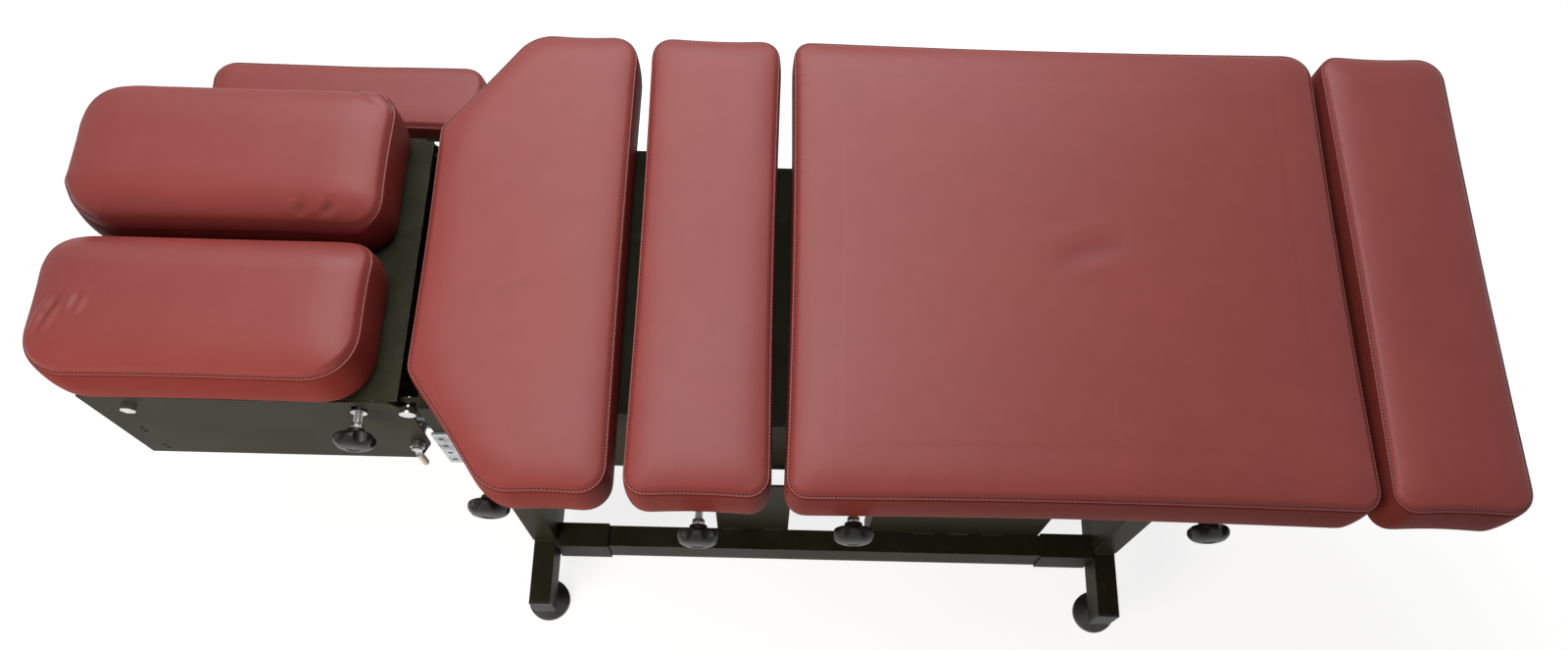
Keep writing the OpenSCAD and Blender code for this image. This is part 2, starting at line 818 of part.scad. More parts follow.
// Outrigger tubes that bring the studs of the drop sections and of the foot lock out past the cushions
module knob_tube(x, z, y_in, y_out) {
    difference() {
        rod_y(x, z, -y_out, -y_in, knob_tube_r);
        rod_y(x, z, -y_out - over, -y_in + over, stud_r + run_fit);
    }
}

module knob_tubes() color("dimgray") {
    y_in = grip_plate_y + gap_fit;
    for (k = [[chest_knob_x, chest_knob_y], [lumbar_knob_x, lumbar_knob_y], [pelvic_knob_x, pelvic_knob_y]]) {
        x = k[0];
        knob_tube(x, knob_z, y_in, k[1] - star_mid);
        difference() {
            box([x - knob_tube_r, -half_w - gusset_l, deck_z - gusset_l], [x + knob_tube_r, -half_w, knob_z]);
            rod_y(x, knob_z, -half_w - gusset_l - over, -half_w + over, stud_r + run_fit);
        }
    }
    for (x = [lumbar_knob_x, pelvic_knob_x]) difference() {
        box([x - knob_tube_r, -half_w, deck_z], [x + knob_tube_r, -y_in, knob_z]);
        rod_y(x, knob_z, -half_w - over, -y_in + over, stud_r + run_fit);
    }
    knob_tube(foot_knob_x, slide_z, slide_y + guide_r, foot_knob_y - star_mid);
}

// Guide sleeves under the deck for the slide tubes of the foot section
module foot_guides() color("dimgray") difference() {
    for (g = [[guide_in_x, guide_in_l], [guide_out_x, guide_out_l]], s = [-1, 1]) {
        translate([g[0], s * slide_y, slide_z]) rotate([0, 90, 0]) cylinder(h = g[1], r = guide_r);
        box([g[0], s * slide_y - guide_web / 2, slide_z],
            [g[0] + g[1], s * slide_y + guide_web / 2, deck_z - sheet]);
    }
    for (s = [-1, 1]) translate([guide_in_x - over, s * slide_y, slide_z]) rotate([0, 90, 0])
        cylinder(h = chassis_x1 - guide_in_x, r = slide_r + run_fit);
    rod_y(foot_knob_x, slide_z, -slide_y - guide_r - over, -slide_y, stud_r + run_fit);
}

// Sector between two angles about the tilt axis, measured from straight down towards the head
module tilt_sector(r0, r1, a0, a1) {
    steps = 8;
    translate([tilt_x, tilt_z]) intersection() {
        difference() {
            circle(r = r1);
            circle(r = r0);
        }
        polygon(concat([[0, 0]], [for (k = [0:steps])
            let (a = a0 + (a1 - a0) * k / steps) 2 * r1 * [-sin(a), -cos(a)]]));
    }
}

// Plate with an arc slot that the head's clamp stud runs in, and the drilled strap outside it
module tilt_quadrant() color("lightgray") {
    slot_half = clamp_stud_r + clamp_side;
    slot_a0 = clamp_a - tilt_down - slot_spare;
    slot_a1 = clamp_a + tilt_up + slot_spare;
    sheet_y(-quad_y, -quad_y + quad_t) difference() {
        tilt_sector(quad_r0, quad_r1, quad_a0, quad_a1);
        tilt_sector(quad_slot_r - slot_half, quad_slot_r + slot_half, slot_a0, slot_a1);
        for (a = [slot_a0, slot_a1])
            translate([tilt_x - quad_slot_r * sin(a), tilt_z - quad_slot_r * cos(a)]) circle(r = slot_half);
    }
    block_z = tilt_z - quad_slot_r * cos(quad_a0) - quad_block_h / 2;
    box([quad_block_x, -inner_w, block_z], [quad_block_x + quad_block_l, -quad_y, block_z + quad_block_h]);
    sheet_y(-half_w - strap_t, -half_w) difference() {
        translate([strap_x + strap_w / 2, strap_z + strap_h / 2])
            round_rect(strap_w, strap_h, strap_corner_r);
        for (share = strap_hole_shares)
            translate([strap_x + strap_w * strap_hole_across_share, strap_z + strap_h * share])
                circle(r = strap_hole_r);
    }
}

// Head box side plate with its hinge ear and the notch that lets it tip down
module head_side_outline() {
    difference() {
        union() {
            polygon([
                [head_box_x0, head_box_z0], [head_box_x1, head_box_z0],
                [tilt_x - notch_back, head_box_z0 + notch_h], [tilt_x + head_edge_back, tilt_z - ear_r],
                [tilt_x + head_edge_back, tilt_z], [tilt_x - ear_r, head_box_top - corner_cut],
                [tilt_x - ear_r - corner_cut, head_box_top], [head_box_x0, head_box_top]
            ]);
            translate([tilt_x, tilt_z]) circle(r = ear_r);
        }
        translate([tilt_x, tilt_z]) circle(r = tilt_pin_r + run_fit);
        translate([pivot_x, pivot_z]) circle(r = pivot_r);
        for (d = [holder_drop, holder_drop + holder_spacing], k = [0, 1])
            translate([holder_x, head_box_top - d + k * holder_pitch]) circle(r = holder_r);
    }
}

module head_side_near() color("darkslategray") {
    rise = (head_knob_x - pivot_x) * sin(head_lift);
    r = stud_r + head_slot_side;
    sheet_y(-half_w, -inner_w) difference() {
        head_side_outline();
        translate([clamp_x, clamp_z]) circle(r = clamp_stud_r);
        translate([head_knob_x, head_knob_z]) circle(r = r);
        translate([head_knob_x, head_knob_z + rise]) circle(r = r);
        translate([head_knob_x - r, head_knob_z]) square([2 * r, rise]);
    }
}

module head_side_far() color("darkslategray") sheet_y(inner_w, half_w) head_side_outline();

module head_floor() color("darkslategray") {
    box([head_box_x0, -inner_w, head_box_z0], [head_box_x1 - sheet, inner_w, head_box_z0 + sheet]);
    box([head_box_x0, -inner_w, head_box_z0 + sheet],
        [head_box_x0 + sheet, inner_w, head_box_top - front_wall_drop]);
}

// Pivot bolts of the tray with nuts inside, and the clamp stud of the tilt quadrant
module head_bolts() color("silver") {
    nut_y = tray_half - sheet - gap_fit;
    both_sides() {
        rod_y(pivot_x, pivot_z, nut_y - bolt_head_h, half_w, pivot_r);
        rod_y(pivot_x, pivot_z, half_w, half_w + bolt_head_h, bolt_head_r, 6);
        rod_y(pivot_x, pivot_z, nut_y - bolt_head_h, nut_y, bolt_head_r, 6);
    }
    rod_y(clamp_x, clamp_z, -half_w - lever_hub_h - gap_fit, -quad_y + quad_t, clamp_stud_r);
    rod_y(clamp_x, clamp_z, -inner_w, -quad_y - gap_fit, clamp_spacer_r);
    rod_y(clamp_x, clamp_z, -quad_y + quad_t + gap_fit, -quad_y + quad_t + bolt_head_h, bolt_head_r, 6);
    rod_y(clamp_x, clamp_z, -quad_y + quad_t, -quad_y + quad_t + gap_fit, clamp_stud_r);
    rod_y(clamp_x, clamp_z, -half_w - lever_hub_h - gap_fit - clamp_cap_t, -half_w - lever_hub_h - gap_fit,
        clamp_cap_r);
}

// Clamp lever on the stud, with a pale grip that hangs down
module tilt_lever() {
    hub_y = -half_w - lever_hub_h;
    arm_y0 = hub_y + lever_arm_in;
    color("dimgray") difference() {
        union() {
            rod_y(clamp_x, clamp_z, hub_y, -half_w - gap_fit, lever_hub_r);
            sheet_y(arm_y0, arm_y0 + lever_arm_t) polygon([
                [clamp_x - lever_arm_w / 2, clamp_z], [clamp_x + lever_arm_w / 2, clamp_z],
                [clamp_x - lever_lean + lever_arm_w / 2, clamp_z - lever_drop],
                [clamp_x - lever_lean - lever_arm_w / 2, clamp_z - lever_drop]
            ]);
        }
        rod_y(clamp_x, clamp_z, hub_y - over, -half_w + over, clamp_stud_r + run_fit);
    }
    color("beige") translate([clamp_x - lever_lean, arm_y0 + lever_arm_t / 2, clamp_z - lever_drop - grip_l])
        cylinder(h = grip_l, r = grip_r);
}

// Tray nested between the head box sides: folded sheet, its front pivoting on the bolts
module head_tray() color("darkslategray") difference() {
    union() {
        box([tray_x0, -tray_half, head_box_top - sheet], [tray_x1, tray_half, head_box_top]);
        for (s = [-1, 1]) {
            y0 = s > 0 ? tray_half - sheet : -tray_half;
            box([tray_x0, y0, head_box_top - tray_flange_h],
                [tray_flange_x1, y0 + sheet, head_box_top - sheet]);
        }
        rod_y(head_knob_x, head_knob_z, -tray_half + sheet, -tray_half + sheet + tray_boss_l, tray_boss_r);
    }
    for (s = [-1, 1]) rod_y(pivot_x, pivot_z, s * tray_half - 2 * sheet, s * tray_half + 2 * sheet,
        pivot_r + run_fit);
    rod_y(head_knob_x, head_knob_z, -tray_half - over, -tray_half + sheet + tray_boss_l + over,
        stud_r + run_fit);
}

// Bright rods across the tray that the head cushions slide on, in end blocks
module guide_rods() color("silver") {
    z = head_box_top + runner_h / 2;
    for (x = rod_x) {
        rod_y(x, z, -rod_block_y, rod_block_y, rod_r);
        both_sides() box([x - runner_w / 2, rod_block_y, head_box_top],
            [x + runner_w / 2, rod_block_y + rod_block_t, head_box_top + runner_h - gap_fit]);
    }
}

// Middle of a head cushion's width, near side -1 or far side 1
function head_y(s) = head_shift + s * (head_split + head_cushion_w) / 2;

module head_board(s) {
    w = head_cushion_w - 2 * board_inset;
    z = head_box_top + runner_h / 2;
    color("burlywood") difference() {
        union() {
            translate([(head_x0 + head_x1) / 2, head_y(s), head_board_z]) linear_extrude(board_t)
                round_rect(head_l - 4 * board_inset, w, head_corner_r - board_inset);
            for (x = rod_x) box([x - runner_w / 2, s * runner_y - runner_l / 2, head_box_top + runner_gap],
                [x + runner_w / 2, s * runner_y + runner_l / 2, head_board_z]);
        }
        for (x = rod_x) rod_y(x, z, s * runner_y - runner_l / 2 - over, s * runner_y + runner_l / 2 + over,
            rod_r + run_fit);
    }
}

module head_cushion(s) {
    y = head_y(s);
    h = head_cushion_w / 2;
    color("brown") cushion(box_outline(head_x0, head_x1, y - h, y + h), head_board_z + board_t,
        head_boxing_h - board_t, head_crown_h, head_corner_r, h, head_band_tuck);
}

module head_board_near() head_board(-1);

module head_board_far() head_board(1);

module head_cushion_near() head_cushion(-1);

module head_cushion_far() head_cushion(1);

module head_knob() {
    y_end = half_w + gap_fit;
    translate([head_knob_x, -y_end, head_knob_z]) rotate([90, 0, 0])
        star_knob(y_end - tray_half + sheet + tray_boss_l);
    color("silver") rod_y(head_knob_x, head_knob_z, -y_end - head_washer_t, -y_end, washer_r);
}

// Drop frame of rectangular tube, hinged at its foot end, with a slotted grip plate on the near side
module drop_frame(x0, x1, hinge_x, knob_x, lift, cross) {
    z1 = frame_z + frame_h;
    rise = (hinge_x - knob_x) * sin(lift);
    slot_r = stud_r + grip_side;
    plate_z = knob_z - rise - slot_r - grip_margin;
    top_z = z1 - sheet;
    color("dimgray") difference() {
        union() {
            for (s = [-1, 1]) {
                y0 = s > 0 ? frame_half_w - frame_tube_w : -frame_half_w;
                tube([x0, y0, frame_z], [x1, y0 + frame_tube_w, z1], 0, frame_wall);
                rod_y(hinge_x, hinge_z, y0 + frame_wall, y0 + frame_tube_w - frame_wall, pin_boss_r);
            }
            for (x = cross) tube([x, -frame_half_w + frame_tube_w, frame_z],
                [x + frame_tube_w, frame_half_w - frame_tube_w, z1], 1, frame_wall);
            sheet_y(-grip_plate_y, -grip_plate_y + grip_plate_t) difference() {
                translate([knob_x - grip_plate_half, plate_z]) square([2 * grip_plate_half, top_z - plate_z]);
                for (d = [0, rise]) translate([knob_x, knob_z - d]) circle(r = slot_r);
                translate([knob_x - slot_r, knob_z - rise]) square([2 * slot_r, rise]);
            }
            box([knob_x - grip_plate_half, -grip_plate_y + grip_plate_t, top_z - sheet],
                [knob_x + grip_plate_half, -frame_half_w, top_z]);
        }
        for (s = [-1, 1]) rod_y(hinge_x, hinge_z, s * (frame_half_w - frame_tube_w / 2) - frame_tube_w,
            s * (frame_half_w - frame_tube_w / 2) + frame_tube_w, pin_r + run_fit);
    }
}

module chest_frame() drop_frame(chest_frame_x0, chest_frame_x1, chest_hinge_x, chest_knob_x, chest_lift,
    [chest_frame_x0, chest_frame_x1 - cross_back]);

module lumbar_frame() drop_frame(lumbar_frame_x0, lumbar_frame_x1, lumbar_hinge_x, lumbar_knob_x, lumbar_lift,
    [lumbar_frame_x0, lumbar_frame_x1 - cross_back]);

module pelvic_frame() drop_frame(pelvic_frame_x0, pelvic_frame_x1, pelvic_hinge_x, pelvic_knob_x, pelvic_lift,
    [pelvic_frame_x0, (pelvic_frame_x0 + pelvic_frame_x1) / 2, pelvic_frame_x1 - cross_back]);

module chest_board() color("burlywood") translate([0, 0, board_z]) linear_extrude(board_t)
    polygon([for (p = ring(chest_outline(), board_inset, corner_r - board_inset, 0, 0, arc_points, 0))
        [p.x, p.y]]);

module chest_cushion() color("brown") cushion(chest_outline(), cushion_z, seam_h - cushion_z, crown_h,
    corner_r, chest_l / 2, band_tuck);

module chest_knob() drop_knob(chest_knob_x, chest_knob_y, knob_z);

module lumbar_board() body_board(lumbar_x0, lumbar_x1);

module lumbar_cushion() body_cushion(lumbar_x0, lumbar_x1);

module lumbar_knob() drop_knob(lumbar_knob_x, lumbar_knob_y, knob_z);

module pelvic_board() body_board(pelvic_x0, pelvic_x1);

module pelvic_cushion() body_cushion(pelvic_x0, pelvic_x1);

module pelvic_knob() drop_knob(pelvic_knob_x, pelvic_knob_y, knob_z);

module foot_slide_tubes() color("silver") {
    for (s = [-1, 1]) translate([slide_x0, s * slide_y, slide_z]) rotate([0, 90, 0]) difference() {
        cylinder(h = riser_x - slide_x0, r = slide_r);
        translate([0, 0, -over]) cylinder(h = riser_x - slide_x0 + 2 * over, r = slide_r - slide_wall);
    }
}

// Upright plate on the slide tubes, and the rails under the foot board
module foot_riser() color("dimgray") {
    half = slide_y + riser_side;
    box([riser_x, -half, slide_z - riser_drop], [riser_x + riser_t, half, board_z]);
    for (s = [-1, 1]) {
        y0 = s > 0 ? half - foot_rail_w : -half;
        box([riser_x + riser_t, y0, board_z - foot_rail_h],
            [foot_x1 - foot_rail_end, y0 + foot_rail_w, board_z]);
    }
}

module foot_board() body_board(foot_x0, foot_x1);

module foot_cushion() body_cushion(foot_x0, foot_x1);

module foot_knob() {
    y_out = foot_knob_y - star_mid;
    translate([foot_knob_x, -y_out, slide_z]) rotate([90, 0, 0])
        star_knob(y_out - slide_y - slide_r - gap_fit);
}

// Bracket on the far side: bolted plate, square arm and the socket of the armrest post
module armrest_bracket() color("darkslategray") {
    arm_z1 = arm_board_z - hub_h - arm_tube_drop;
    socket_z1 = arm_board_z - hub_h - socket_drop;
    x_face = arm_post_x + socket_r - arm_tube_lap;
    difference() {
        union() {
            box([x_face, half_w, arm_z1 - arm_plate_h / 2 - arm_tube / 2],
                [x_face + arm_plate_l, half_w + arm_plate_t, arm_z1 + arm_plate_h / 2 - arm_tube / 2]);
            box([x_face, half_w + arm_plate_t, arm_z1 - arm_tube],
                [x_face + arm_tube, arm_y + socket_r, arm_z1]);
            translate([arm_post_x, arm_y, socket_z1 - socket_l]) cylinder(h = socket_l, r = socket_r);
        }
        translate([arm_post_x, arm_y, socket_z1 - socket_l - over])
            cylinder(h = socket_l + 2 * over, r = post_r + run_fit);
        translate([arm_post_x - socket_r - over, arm_y, arm_board_z - hub_h - clamp_drop]) rotate([0, 90, 0])
            cylinder(h = socket_r, r = clamp_stud + run_fit);
    }
}

module armrest_post() color("silver") {
    top = arm_board_z - hub_h;
    translate([arm_post_x, arm_y, top - arm_post_l]) cylinder(h = arm_post_l, r = post_r);
    translate([arm_post_x, arm_y, top]) cylinder(h = hub_h - spigot_play, r = spigot_r);
}

// Board of the armrest with the hub that turns on the post
module armrest_board() color("burlywood") {
    translate([(arm_x0 + arm_x1) / 2, arm_y, arm_board_z]) linear_extrude(arm_board_t)
        round_rect(arm_l - 2 * board_inset, arm_w - 2 * board_inset, arm_corner_r - board_inset);
    difference() {
        translate([arm_post_x, arm_y, arm_board_z - hub_h + gap_fit])
            cylinder(h = hub_h - gap_fit, r = hub_r);
        translate([arm_post_x, arm_y, arm_board_z - hub_h - over])
            cylinder(h = hub_h + over, r = spigot_r + run_fit);
    }
}

module armrest_cushion() color("brown") {
    z0 = arm_board_z + arm_board_t;
    cushion(box_outline(arm_x0, arm_x1, arm_y - arm_w / 2, arm_y + arm_w / 2), z0,
        arm_t - arm_board_t - arm_crown, arm_crown, arm_corner_r, arm_w / 2, band_tuck);
}

module armrest_clamp() {
    z = arm_board_z - hub_h - clamp_drop;
    x_tip = arm_post_x - post_r - gap_fit;
    x_hub = arm_post_x - socket_r - clamp_neck;
    color("silver") translate([x_hub, arm_y, z]) rotate([0, 90, 0])
        cylinder(h = x_tip - x_hub, r = clamp_stud);
    color("black") translate([x_hub, arm_y, z]) rotate([0, -90, 0]) difference() {
        cylinder(h = clamp_hub_h, r = clamp_hub_r);
        for (k = [0:lobes - 1]) rotate(360 * k / lobes) translate([clamp_hub_r + clamp_cut_out, 0, -over])
            cylinder(h = clamp_hub_h + 2 * over, r = clamp_cut_r);
    }
}

base_rails();
base_crossbars();
corner_sleeves();
crossbar_end_caps();
levelling_bushes();
levelling_foot(bar_head_x, -foot_y);  // levelling_foot_1
levelling_foot(bar_head_x, foot_y);  // levelling_foot_2
levelling_foot(bar_foot_x, -foot_y);  // levelling_foot_3
levelling_foot(bar_foot_x, foot_y);  // levelling_foot_4
leg_posts();
front_columns();
rear_columns();
chassis_side_near();
chassis_side_far();
chassis_deck();
chassis_ends();
chassis_crossmembers();
chest_bridges();
hinge_lugs();
hinge_pins();
rest_buffers();
knob_tubes();
foot_guides();
tilt_quadrant();
head_side_near();
head_side_far();
head_floor();
head_bolts();
tilt_lever();
head_tray();
guide_rods();
head_board_near();
head_cushion_near();
head_board_far();
head_cushion_far();
head_knob();
chest_frame();
chest_board();
chest_cushion();
chest_knob();
lumbar_frame();
lumbar_board();
lumbar_cushion();
lumbar_knob();
pelvic_frame();
pelvic_board();
pelvic_cushion();
pelvic_knob();
foot_slide_tubes();
foot_riser();
foot_board();
foot_cushion();
foot_knob();
armrest_bracket();
armrest_post();
armrest_board();
armrest_cushion();
armrest_clamp();
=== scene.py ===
"""Looks of a chiropractic drop table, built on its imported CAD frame.

Everything is in metres in the frame of the CAD: +X runs from the head end to the foot end, +Y points to the
armrest side, +Z is up, and the floor is z = 0.
"""

import logging
import math
from collections.abc import Callable, Sequence
from dataclasses import dataclass, field
from enum import Enum

import bpy
import numpy as np
from mathutils import Matrix, Vector


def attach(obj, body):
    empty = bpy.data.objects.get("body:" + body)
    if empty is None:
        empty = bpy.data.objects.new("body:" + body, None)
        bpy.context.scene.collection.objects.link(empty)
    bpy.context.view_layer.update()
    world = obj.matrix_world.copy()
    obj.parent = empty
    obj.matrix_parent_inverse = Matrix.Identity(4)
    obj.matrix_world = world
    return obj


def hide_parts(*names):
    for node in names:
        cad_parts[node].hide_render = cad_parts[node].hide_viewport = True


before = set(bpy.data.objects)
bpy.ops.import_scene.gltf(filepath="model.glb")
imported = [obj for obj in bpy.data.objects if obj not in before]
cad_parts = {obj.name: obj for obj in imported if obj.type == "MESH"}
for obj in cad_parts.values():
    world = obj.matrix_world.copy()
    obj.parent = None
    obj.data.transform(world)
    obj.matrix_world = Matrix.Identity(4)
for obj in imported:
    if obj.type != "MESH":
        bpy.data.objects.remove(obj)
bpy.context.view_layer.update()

LOG = logging.getLogger("drop_table")
MM = 0.001
WHITE = (1.0, 1.0, 1.0, 1.0)


# Finishes

class Finish(Enum):
    """The finishes of the table."""

    LEATHER = "burgundy_leather"
    LEATHER_SIDE = "burgundy_boxing"
    FRAME_PAINT = "frame_paint"
    BLACK_PAINT = "black_paint"
    BRIGHT_STEEL = "bright_steel"
    ZINC = "zinc_steel"
    BLACK_PLASTIC = "black_plastic"
    FOOT_PLASTIC = "foot_plastic"
    RUBBER = "buffer_rubber"
    NYLON = "pale_nylon"
    KNOB_PLASTIC = "knob_plastic"
    PLYWOOD = "plywood"
    THREAD = "thread"
    STAPLE = "staple"
    WELD = "weld"


def from_screen(*levels: int) -> tuple[float, ...]:
    """Turns a screen colour of 0 to 255 into the linear colour, with its alpha, that shaders take."""
    shares = (level / 255 for level in levels)
    return (*(s / 12.92 if s <= 0.04045 else ((s + 0.055) / 1.055) ** 2.4 for s in shares), 1.0)


class Wiring:
    """Adds and joins the nodes of one shader tree."""

    def __init__(self, tree: bpy.types.NodeTree) -> None:
        """Starts with a tree."""
        self.tree = tree

    def feed(self, socket: bpy.types.NodeSocket, value: object) -> None:
        """Feeds an input.

        Args:
            socket: The input.
            value: The output socket that feeds it, or its constant.
        """
        if isinstance(value, bpy.types.NodeSocket):
            self.tree.links.new(value, socket)
        else:
            socket.default_value = value

    def add(self, kind: str, sockets: dict | None = None, **settings: object) -> bpy.types.Node:
        """Adds a node, sets its options and feeds its sockets.

        Args:
            kind: Blender's name of the node type, without its "ShaderNode" prefix.
            sockets: Socket name or number to a value, or to the output socket that feeds it.
            settings: Options of the node.

        Returns:
            The node.
        """
        node = self.tree.nodes.new(kind if kind.startswith("Node") else f"ShaderNode{kind}")
        for name, value in settings.items():
            setattr(node, name, value)
        for name, value in (sockets or {}).items():
            self.feed(node.inputs[name], value)
        return node

    def math(self, operation: str, first: object, second: object = 0.0,
             clamp: bool = False) -> bpy.types.NodeSocket:
        """Adds a math node and gives its result, held within 0 and 1 where asked."""
        return self.add("Math", {0: first, 1: second}, operation=operation, use_clamp=clamp).outputs[0]

    def total(self, base: object, *terms: tuple[object, object]) -> object:
        """Adds to a base value some sockets, each times a factor.

        Args:
            base: Value or socket.
            terms: Pairs of a socket and its factor.

        Returns:
            The sum's socket.
        """
        for socket, factor in terms:
            base = self.math("ADD", self.math("MULTIPLY", socket, factor), base)
        return base

    def spread(self, value: bpy.types.NodeSocket, low: object, high: object) -> bpy.types.NodeSocket:
        """Maps a span of values smoothly to 0 to 1."""
        sockets = {"Value": value, "From Min": low, "From Max": high}
        return self.add("MapRange", sockets, interpolation_type="SMOOTHSTEP").outputs["Result"]

    def mix(self, share: object, first: object, second: object, kind: str = "Color") -> bpy.types.NodeSocket:
        """Mixes two colours or two vectors.

        Args:
            share: How much of the second there is.
            first: First value or socket.
            second: Second value or socket.
            kind: "Color" or "Vector".

        Returns:
            The result's socket.
        """
        node = self.add("Mix", data_type={"Color": "RGBA", "Vector": "VECTOR"}[kind])
        wanted = {"Factor_Float": share, f"A_{kind}": first, f"B_{kind}": second}
        for socket in node.inputs:
            if socket.identifier in wanted:
                self.feed(socket, wanted[socket.identifier])
        return next(s for s in node.outputs if s.identifier == f"Result_{kind}")

    def place(self) -> bpy.types.NodeSocket:
        """Gives object coordinates."""
        return self.add("TexCoord").outputs["Object"]

    def scaled(self, vector: object, scale: object) -> bpy.types.NodeSocket:
        """Multiplies a vector by another, or by one number along each axis."""
        return self.add("VectorMath", {0: vector, 1: scale}, operation="MULTIPLY").outputs[0]

    def rise(self, vector: bpy.types.NodeSocket) -> bpy.types.NodeSocket:
        """Gives the Z part of a vector."""
        return self.add("SeparateXYZ", {0: vector}).outputs["Z"]

    def noise(self, scale: object, detail: float = 2.0, where: object = None,
              **more: float) -> bpy.types.NodeSocket:
        """Adds a noise.

        Args:
            scale: Its scale.
            detail: Its detail.
            where: Its coordinates, or None for object coordinates.
            more: Other inputs by name.

        Returns:
            The level's socket.
        """
        where = self.place() if where is None else where
        return self.add("TexNoise", {"Vector": where, "Scale": scale, "Detail": detail, **more}).outputs["Fac"]


class Effects:
    """The effects that several finishes share, each a node group that is built once."""

    def __init__(self) -> None:
        """Builds every group."""
        self.groups: dict[str, bpy.types.NodeTree] = {}
        for name, inputs, outputs, wire in (
                ("Grain", {"Scale": 900.0, "Sharpness": 0.5}, ("Tone", "Height"), self.grain),
                ("Mottle", {"Scale": 6.0, "Low": 0.3, "High": 0.7}, ("Tone",), self.mottle),
                ("Edge wear", {"Radius": 0.0012, "Amount": 0.6, "Scale": 60.0}, ("Tone", "Normal"),
                 self.edge_wear),
                ("Dust", {"Amount": 0.25, "Scale": 25.0}, ("Tone",), self.dust),
                ("Streaks", {"Along X": 10.0, "Along Y": 10.0, "Along Z": 10.0}, ("Tone", "Height"),
                 self.streaks),
                ("Scuffs", {"Scale": 40.0, "Amount": 0.5}, ("Tone",), self.scuffs),
                ("Flakes", {"Scale": 230.0}, ("Tone",), self.flakes)):
            self.groups[name] = self.group(name, inputs, outputs, wire)

    @staticmethod
    def group(name: str, inputs: dict[str, float], outputs: Sequence[str],
              wire: Callable) -> bpy.types.NodeTree:
        """Builds one group.

        Args:
            name: Name of the group.
            inputs: Input names and their usual values.
            outputs: Output names.
            wire: Builder of the outputs' sockets.

        Returns:
            The group's tree.
        """
        tree = bpy.data.node_groups.new(name, "ShaderNodeTree")
        for label, usual in inputs.items():
            socket = tree.interface.new_socket(label, in_out="INPUT", socket_type="NodeSocketFloat")
            socket.default_value = usual
        for label in outputs:
            kind = "NodeSocketVector" if label == "Normal" else "NodeSocketFloat"
            tree.interface.new_socket(label, in_out="OUTPUT", socket_type=kind)
        w = Wiring(tree)
        given, out = w.add("NodeGroupInput").outputs, w.add("NodeGroupOutput").inputs
        for label, socket in zip(outputs, wire(w, given)):
            w.feed(out[label], socket)
        return tree

    def use(self, w: Wiring, name: str, *values: object) -> bpy.types.NodeOutputs:
        """Places a group in a material, with its input values in order, and gives its outputs."""
        return w.add("Group", dict(enumerate(values)), node_tree=self.groups[name]).outputs

    @staticmethod
    def grain(w: Wiring, given: bpy.types.NodeOutputs) -> tuple:
        """Pebbled surface of leather, moulded plastic and powder coat.

        Args:
            w: Wiring of the group.
            given: The group's inputs.

        Returns:
            The outputs' sockets.
        """
        where = w.place()
        warp = w.add("TexNoise", {"Vector": where, "Scale": 260.0, "Detail": 2.0}).outputs["Color"]
        moved = w.mix(0.0015, where, warp, "Vector")
        cells = w.add("TexVoronoi", {"Vector": moved, "Scale": given["Scale"]}, feature="SMOOTH_F1",
                      distance="EUCLIDEAN").outputs["Distance"]
        fine = w.noise(w.math("MULTIPLY", given["Scale"], 1.7), 3.0, where)
        pebble = w.math("SUBTRACT", 1.0, w.math("POWER", cells, given["Sharpness"]))
        height = w.total(0.0, (pebble, 0.7), (fine, 0.3))
        return w.spread(height, 0.15, 0.75), height

    @staticmethod
    def mottle(w: Wiring, given: bpy.types.NodeOutputs) -> tuple:
        """Soft, large variation of tone."""
        return (w.spread(w.noise(given["Scale"], 4.0, Roughness=0.55), given["Low"], given["High"]),)

    @staticmethod
    def edge_wear(w: Wiring, given: bpy.types.NodeOutputs) -> tuple:
        """Worn, lighter line along sharp edges, and the softened normal there.

        Args:
            w: Wiring of the group.
            given: The group's inputs.

        Returns:
            The outputs' sockets.
        """
        soft = w.add("Bevel", {"Radius": given["Radius"]}, samples=4).outputs["Normal"]
        true = w.add("NewGeometry").outputs["Normal"]
        same = w.add("VectorMath", {0: soft, 1: true}, operation="DOT_PRODUCT").outputs["Value"]
        patch = w.noise(given["Scale"], 5.0, Roughness=0.7)
        worn = w.math("MULTIPLY", w.spread(same, 0.985, 0.80), w.spread(patch, 0.40, 0.66))
        return w.math("MULTIPLY", worn, given["Amount"], clamp=True), soft

    @staticmethod
    def dust(w: Wiring, given: bpy.types.NodeOutputs) -> tuple:
        """Thin dust that settles on faces that look up.

        Args:
            w: Wiring of the group.
            given: The group's inputs.

        Returns:
            The outputs' sockets.
        """
        up = w.rise(w.add("NewGeometry").outputs["Normal"])
        cloud = w.noise(given["Scale"], 6.0, Roughness=0.65)
        layer = w.math("MULTIPLY", w.spread(up, 0.55, 0.98), w.spread(cloud, 0.35, 0.75))
        return (w.math("MULTIPLY", layer, given["Amount"], clamp=True),)

    @staticmethod
    def streaks(w: Wiring, given: bpy.types.NodeOutputs) -> tuple:
        """Fine lines of drawn and turned metal and of wood grain, along one axis.

        Args:
            w: Wiring of the group.
            given: The group's inputs.

        Returns:
            The outputs' sockets.
        """
        scale = w.add("CombineXYZ", {k: given[k] for k in range(3)}).outputs[0]
        lines = w.noise(1.0, 5.0, w.scaled(w.place(), scale), Roughness=0.6)
        return w.spread(lines, 0.35, 0.68), lines

